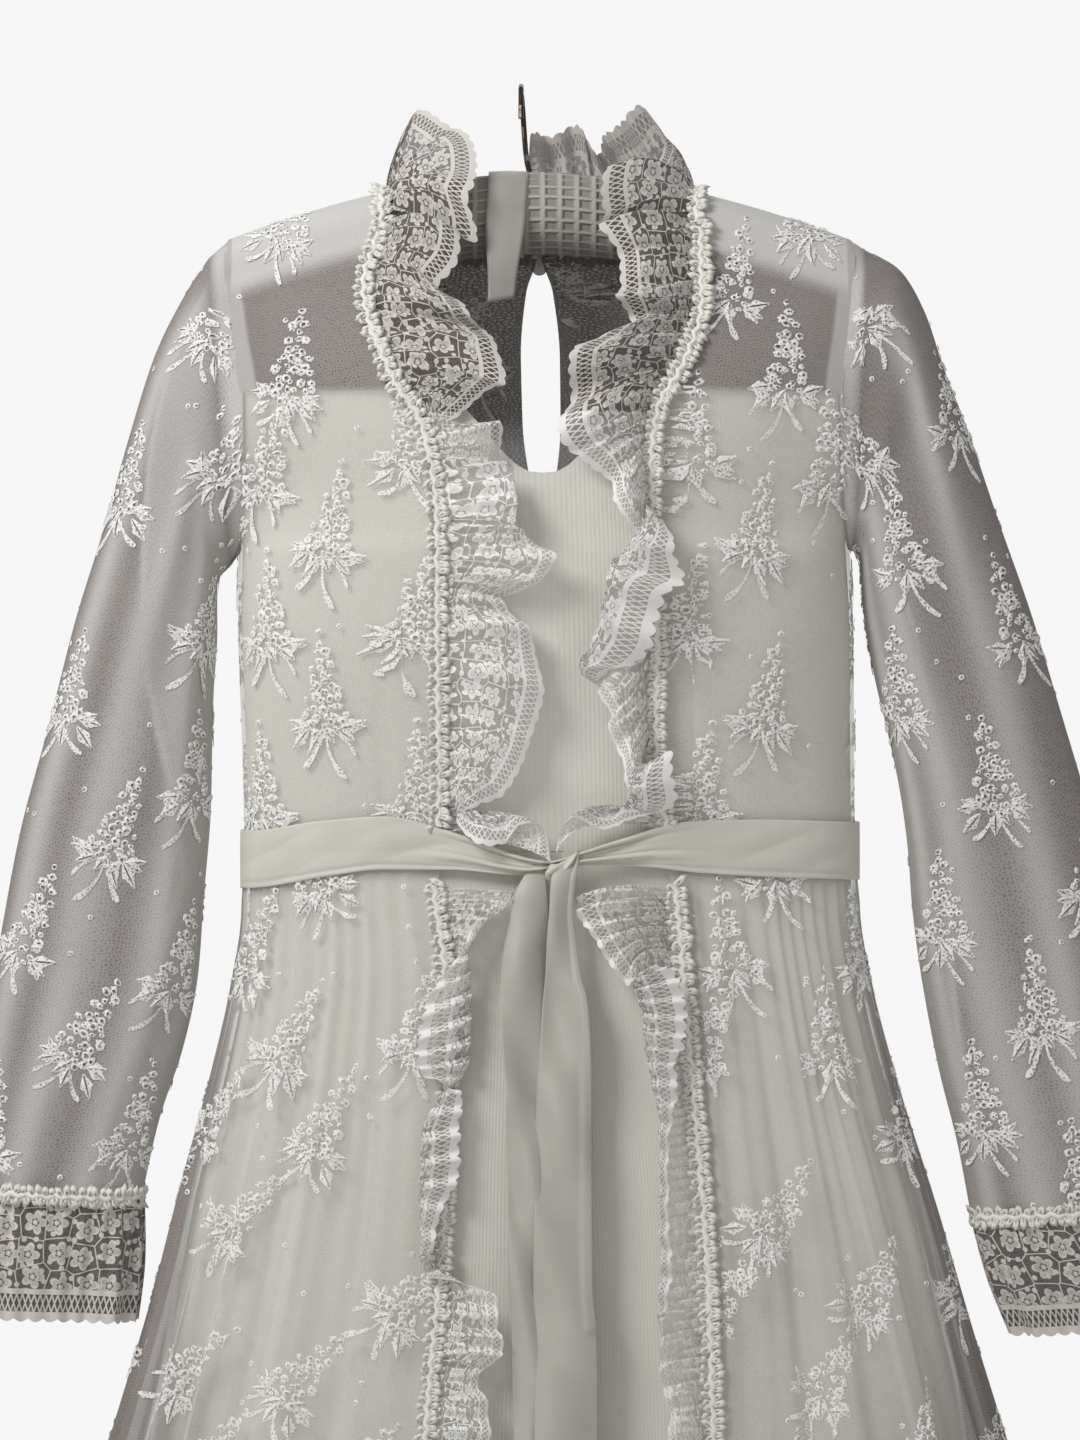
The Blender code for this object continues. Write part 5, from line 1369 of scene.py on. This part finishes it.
for side, side_name in ((LEFT, "left"), (RIGHT, "right")):
    for name, top, end in (("bodice", hang_z, -447 * MM), ("skirt", -482 * MM, LACE_HEM_Z)):
        path = []
        for number in range(80):
            z = lerp(top, end, number / 79)
            x = front_edge(side, z) + 2.5 * MM
            path.append(Vector((middle(z) + side * x, front_y(x, z) + LACE_LIFT - GIMP_LIFT, z)))
        gimp(f"gimp_{name}_{side_name}", path, to_front, f"braid_{name}_{side_name}")
    last, down = SLEEVE[side][-1], Vector((side * CUFF_LEAN[side], 0, -1)).normalized() * 3
    row = (last[0] + down.x, last[1] + down.z, last[2] + down.x, last[3] + down.z, last[4])
    path = [laid_point(row, turn / 60, 2.6 * MM) for turn in range(61)]
    centre = sum(path, Vector()) / len(path)
    gimp(f"gimp_cuff_{side_name}", path, lambda point: point - centre, f"braid_cuff_{side_name}")
gimp("gimp_neck", [point + neck_out(point) * 2.2 * MM for point in neckline[::6]], neck_out, "braid_neck")

# Belt: double-faced ivory satin ribbon 37 mm wide, drawn round the waist and tied once in front. It is
# crushed towards the tie, where both tails come up over the band and fall in front of the skirt.
BELT_LIFT, BELT_SIZE = 4.8 * MM, (0.93, 0.037)
TIE_X, TIE_Z = 24 * MM, -469 * MM
CRUSH_X, CRUSH_REACH = 25 * MM, 95 * MM
BELT_TOP = [(-200, -450), (-164, -450), (-121, -444), (-81, -441), (-49, -448), (-25, -456), (0, -465),
            (17, -468), (34, -463), (59, -455), (101, -444), (143, -443), (202, -445), (230, -446)]
BELT_BOTTOM = [(-200, -486), (-164, -485), (-115, -477), (-82, -473), (-43, -473), (0, -476), (17, -473),
               (34, -470), (71, -471), (107, -475), (155, -478), (202, -480), (230, -483)]
TAILS = {
    LEFT: [
        # height, left edge x, right edge x
        (-468, 8, 12), (-475, 3, 14), (-488, -4, 16), (-505, -7, 17), (-525, -11, 17), (-550, -13, 16),
        (-580, -11, 15), (-612, -8, 14), (-668, -8, 12), (-730, -6, 11), (-815, -4, 10), (-900, -6, 12),
        (-980, -12, 12), (-1050, -16, 15),
    ],
    RIGHT: [
        # height, left edge x, right edge x
        (-461, 26, 34), (-468, 24, 34.5), (-478, 18, 33), (-497, 17, 31), (-516, 15.5, 33), (-536, 14.5, 36),
        (-551, 13, 40), (-585, 11, 42), (-615, 9, 42.5), (-676, 8, 42.5), (-718, 7.5, 43), (-745, 8, 45.5),
        (-815, 8, 46), (-900, 9, 46), (-980, 13, 50), (-1030, 16, 52),
    ],
}
belt_top, belt_bottom = smooth_curve(BELT_TOP), smooth_curve(BELT_BOTTOM)
belt_satin = satin_material("double_faced_satin_belt", "#CECBC0", "#E0DED4", 380.0)
# The tails are the belt's satin painted greyer: painted shade, for the shadow they hang in.
shaded_tail_satin = satin_material("double_faced_satin_tails_painted_shade", "#AFABA3", "#C2BFB6", 380.0)


def belt_place(across, down):
    angle = 2 * math.pi * (across - 0.25)
    face = FRONT if math.sin(angle) < 0 else BACK
    side = 1 if math.cos(angle) > 0 else -1
    wide, deep = section(math.acos(min(abs(math.cos(angle)), 1)))
    half_width = bodice_width(WAIST_Z) + BELT_LIFT
    x = middle(WAIST_Z) + side * half_width * wide
    top, bottom = (belt_top(x), belt_bottom(x)) if face == FRONT else (-446 * MM, -483 * MM)
    if face == BACK:
        blend = ease((1 - wide) * 4)
        top = lerp(belt_top(x), top, blend)
        bottom = lerp(belt_bottom(x), bottom, blend)
    z = lerp(top, bottom, down)
    depth = (bodice_depth[face](z) if z > WAIST_Z else lace_skirt["depth"][face](z)) + BELT_LIFT
    crush = ease(1 - abs(x - CRUSH_X) / CRUSH_REACH) if face == FRONT else 0
    pleat = (2.2 * MM * math.sin(2 * math.pi * (1.6 * down + 0.15))
             + 1.3 * MM * math.sin(2 * math.pi * 3.3 * down)) * crush
    dent = 1.1 * MM * math.sin(61 * x + 5 * down + 1) * math.sin(math.pi * down) * math.sin(29 * x)
    roll = 0.8 * MM * math.cos(math.pi * (down - 0.5)) - 0.7 * MM * math.exp(-((down - 0.9) / 0.03) ** 2)
    stand = abs(pleat) + pleat * 0.5 + abs(dent) + roll + 3 * MM * crush
    return Vector((x, face * (depth * deep + stand), z))


belt = cloth("satin_belt_band", 360, 32, belt_place, from_middle, BELT_SIZE)
thicken(belt)
finish_piece(belt, belt_satin, "satin", "belt_band")


def tail_place(side):
    rows = TAILS[side]
    left, right = column(rows, 1), column(rows, 2)

    def place(across, down):
        z = lerp(rows[0][0], rows[-1][0], down) * MM
        slant = 8 * MM * across * ease((down - 0.97) * 33)
        x = lerp(left(z), right(z), across)
        fall = down * 0.58
        lift = 10.5 * MM + (2.5 * MM if side == RIGHT else 0)
        bow = 2.2 * MM * math.sin(math.pi * across) * ease(down * 30)
        ripple = (3.2 * MM * math.sin(26 * fall + 3.6 * across + side) * math.sin(9 * fall + 1)
                  * ease(down * 8))
        crease = 2.0 * MM * math.sin(62 * fall - 5 * across) * ease(down * 6) * ease((0.4 - fall) * 6)
        double = 1.6 * MM * ease((across - 0.78) * 14) if side == RIGHT and down < 0.5 else 0
        tie = -4 * MM * ease(1 - down * 26)
        return Vector((x, front_y(x - middle(z), z) - lift - bow - ripple - crease - double - tie, z + slant))

    return place


for side, side_name in ((LEFT, "left"), (RIGHT, "right")):
    rows = TAILS[side]
    length = (rows[0][0] - rows[-1][0]) * MM
    tail = cloth(f"satin_belt_tail_{side_name}", 22, 240, tail_place(side), lambda point: Vector((0, -1, 0)),
                 (BELT_SIZE[1], length))
    thicken(tail)
    finish_piece(tail, shaded_tail_satin, "satin", f"belt_tail_{side_name}")


def knot_place(across, down):
    """The turn of ribbon between the tails: a short roll, pulled tight in its middle."""
    turn = 2 * math.pi * down
    along = (across - 0.5) * 2
    radius = (4.4 + 2.6 * along ** 2 + 0.8 * math.sin(3 * turn + 4 * along)) * MM
    radius *= math.sqrt(max(1 - along ** 4, 0.02))
    centre = Vector((TIE_X + 9 * MM * along, 0, TIE_Z + 4 * MM * along - 3 * MM * (1 - along ** 2)))
    front = -bodice_depth[FRONT](-465 * MM) - BELT_LIFT - 7 * MM
    return centre + Vector((radius * 0.4 * math.cos(turn), front - 0.8 * radius * math.sin(turn),
                            radius * math.cos(turn)))


knot = cloth("satin_belt_knot", 20, 28, knot_place,
             lambda point: point - Vector((TIE_X, point.y + 0.001, TIE_Z)), (0.03, BELT_SIZE[1]))
mend(knot.data, fill=True)
finish_piece(knot, belt_satin, "satin", "belt_knot")

# Button: a small dome covered in the belt's satin, sewn on behind the neck, where it closes the top of the
# keyhole. Its form is the modelled one, and only its cover is made here.
covered, tree, shader = cloth_material("satin_covered_button", "#E4E1D6", 0.45, 0.2)
ribs = node(tree, "TexWave",
            {"Vector": node(tree, "TexCoord").outputs["Object"], "Scale": 420.0, "Distortion": 0.5},
            wave_type="BANDS", bands_direction="X")
bump = node(tree, "Bump", {"Height": ribs, "Strength": 0.3, "Distance": 0.0003})
tone = node(tree, "MixRGB", {0: ribs, 1: rgb("#D8D5C9"), 2: rgb("#ECEAE1")})
join(tree, shader, {"Base Color": tone, "Normal": bump})
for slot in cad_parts["neck_button"].material_slots:
    slot.material = covered

# Room: a plain pale floor and backdrop, to show the dress by itself. A broad soft light stands at the upper
# left, and weaker ones fill the shadows and light the cloth from behind.
FLOOR_Z = -1.56
bpy.ops.object.select_all(action="DESELECT")
bpy.ops.mesh.primitive_plane_add(size=8, location=(0, 0, 0))
floor = bpy.context.object
for vertex in floor.data.vertices:
    vertex.co.z = FLOOR_Z
floor.name = "studio_floor"
paint, tree, shader = cloth_material("matt_floor_paint", "#EFEFEF", 0.9)
speckle = node(tree, "TexNoise", {"Vector": node(tree, "TexCoord").outputs["Object"], "Scale": 40.0,
                                  "Detail": 3.0})
tone = node(tree, "MixRGB", {0: speckle, 1: rgb("#EAEAEA"), 2: rgb("#F2F2F2")})
join(tree, shader, {"Base Color": tone})
floor.data.materials.append(paint)

LIT_POINT = Vector((0, 0, -0.45))
for name, energy, size, place in (("key_light", 30, 0.8, (-1.25, -1.25, 0.95)),
                                  ("fill_light", 3.5, 2.4, (2.4, -2.0, -0.2)),
                                  ("back_light", 18, 2.0, (0.4, 2.4, 0.8))):
    light = bpy.data.lights.new(name, "AREA")
    light.energy, light.size = energy, size
    lamp = bpy.data.objects.new(name, light)
    lamp.location = place
    lamp.rotation_euler = (LIT_POINT - Vector(place)).to_track_quat("-Z", "Y").to_euler()
    bpy.context.scene.collection.objects.link(lamp)

world = bpy.data.worlds.new("pale_studio")
world.use_nodes = True
tree = world.node_tree
seen = node(tree, "Background", {"Color": rgb("#F6F6F6")})
lit = node(tree, "Background", {"Color": rgb("#FBFAF8"), "Strength": 0.38})
backdrop = node(tree, "MixShader", {0: node(tree, "LightPath").outputs["Is Camera Ray"], 1: lit, 2: seen})
join(tree, tree.nodes["World Output"], {"Surface": backdrop})
bpy.context.scene.world = world
bpy.context.scene.cycles.transparent_max_bounces = 20
bpy.context.scene.view_settings.view_transform = "Standard"

# Camera: level, three metres in front of the upper half of the dress, with a long lens so that the folds
# keep their shape. The whole depth of the dress is sharp.
camera = bpy.data.cameras.new("front_camera")
camera.sensor_fit, camera.sensor_height, camera.lens = "VERTICAL", 36, 125
camera.clip_end = 50
camera.dof.use_dof = False
view = bpy.data.objects.new("front_camera", camera)
view.location = (0.0114, -3.04, -0.3834)
view.rotation_euler = (math.pi / 2, 0, 0)
bpy.context.scene.collection.objects.link(view)
bpy.context.scene.camera = view
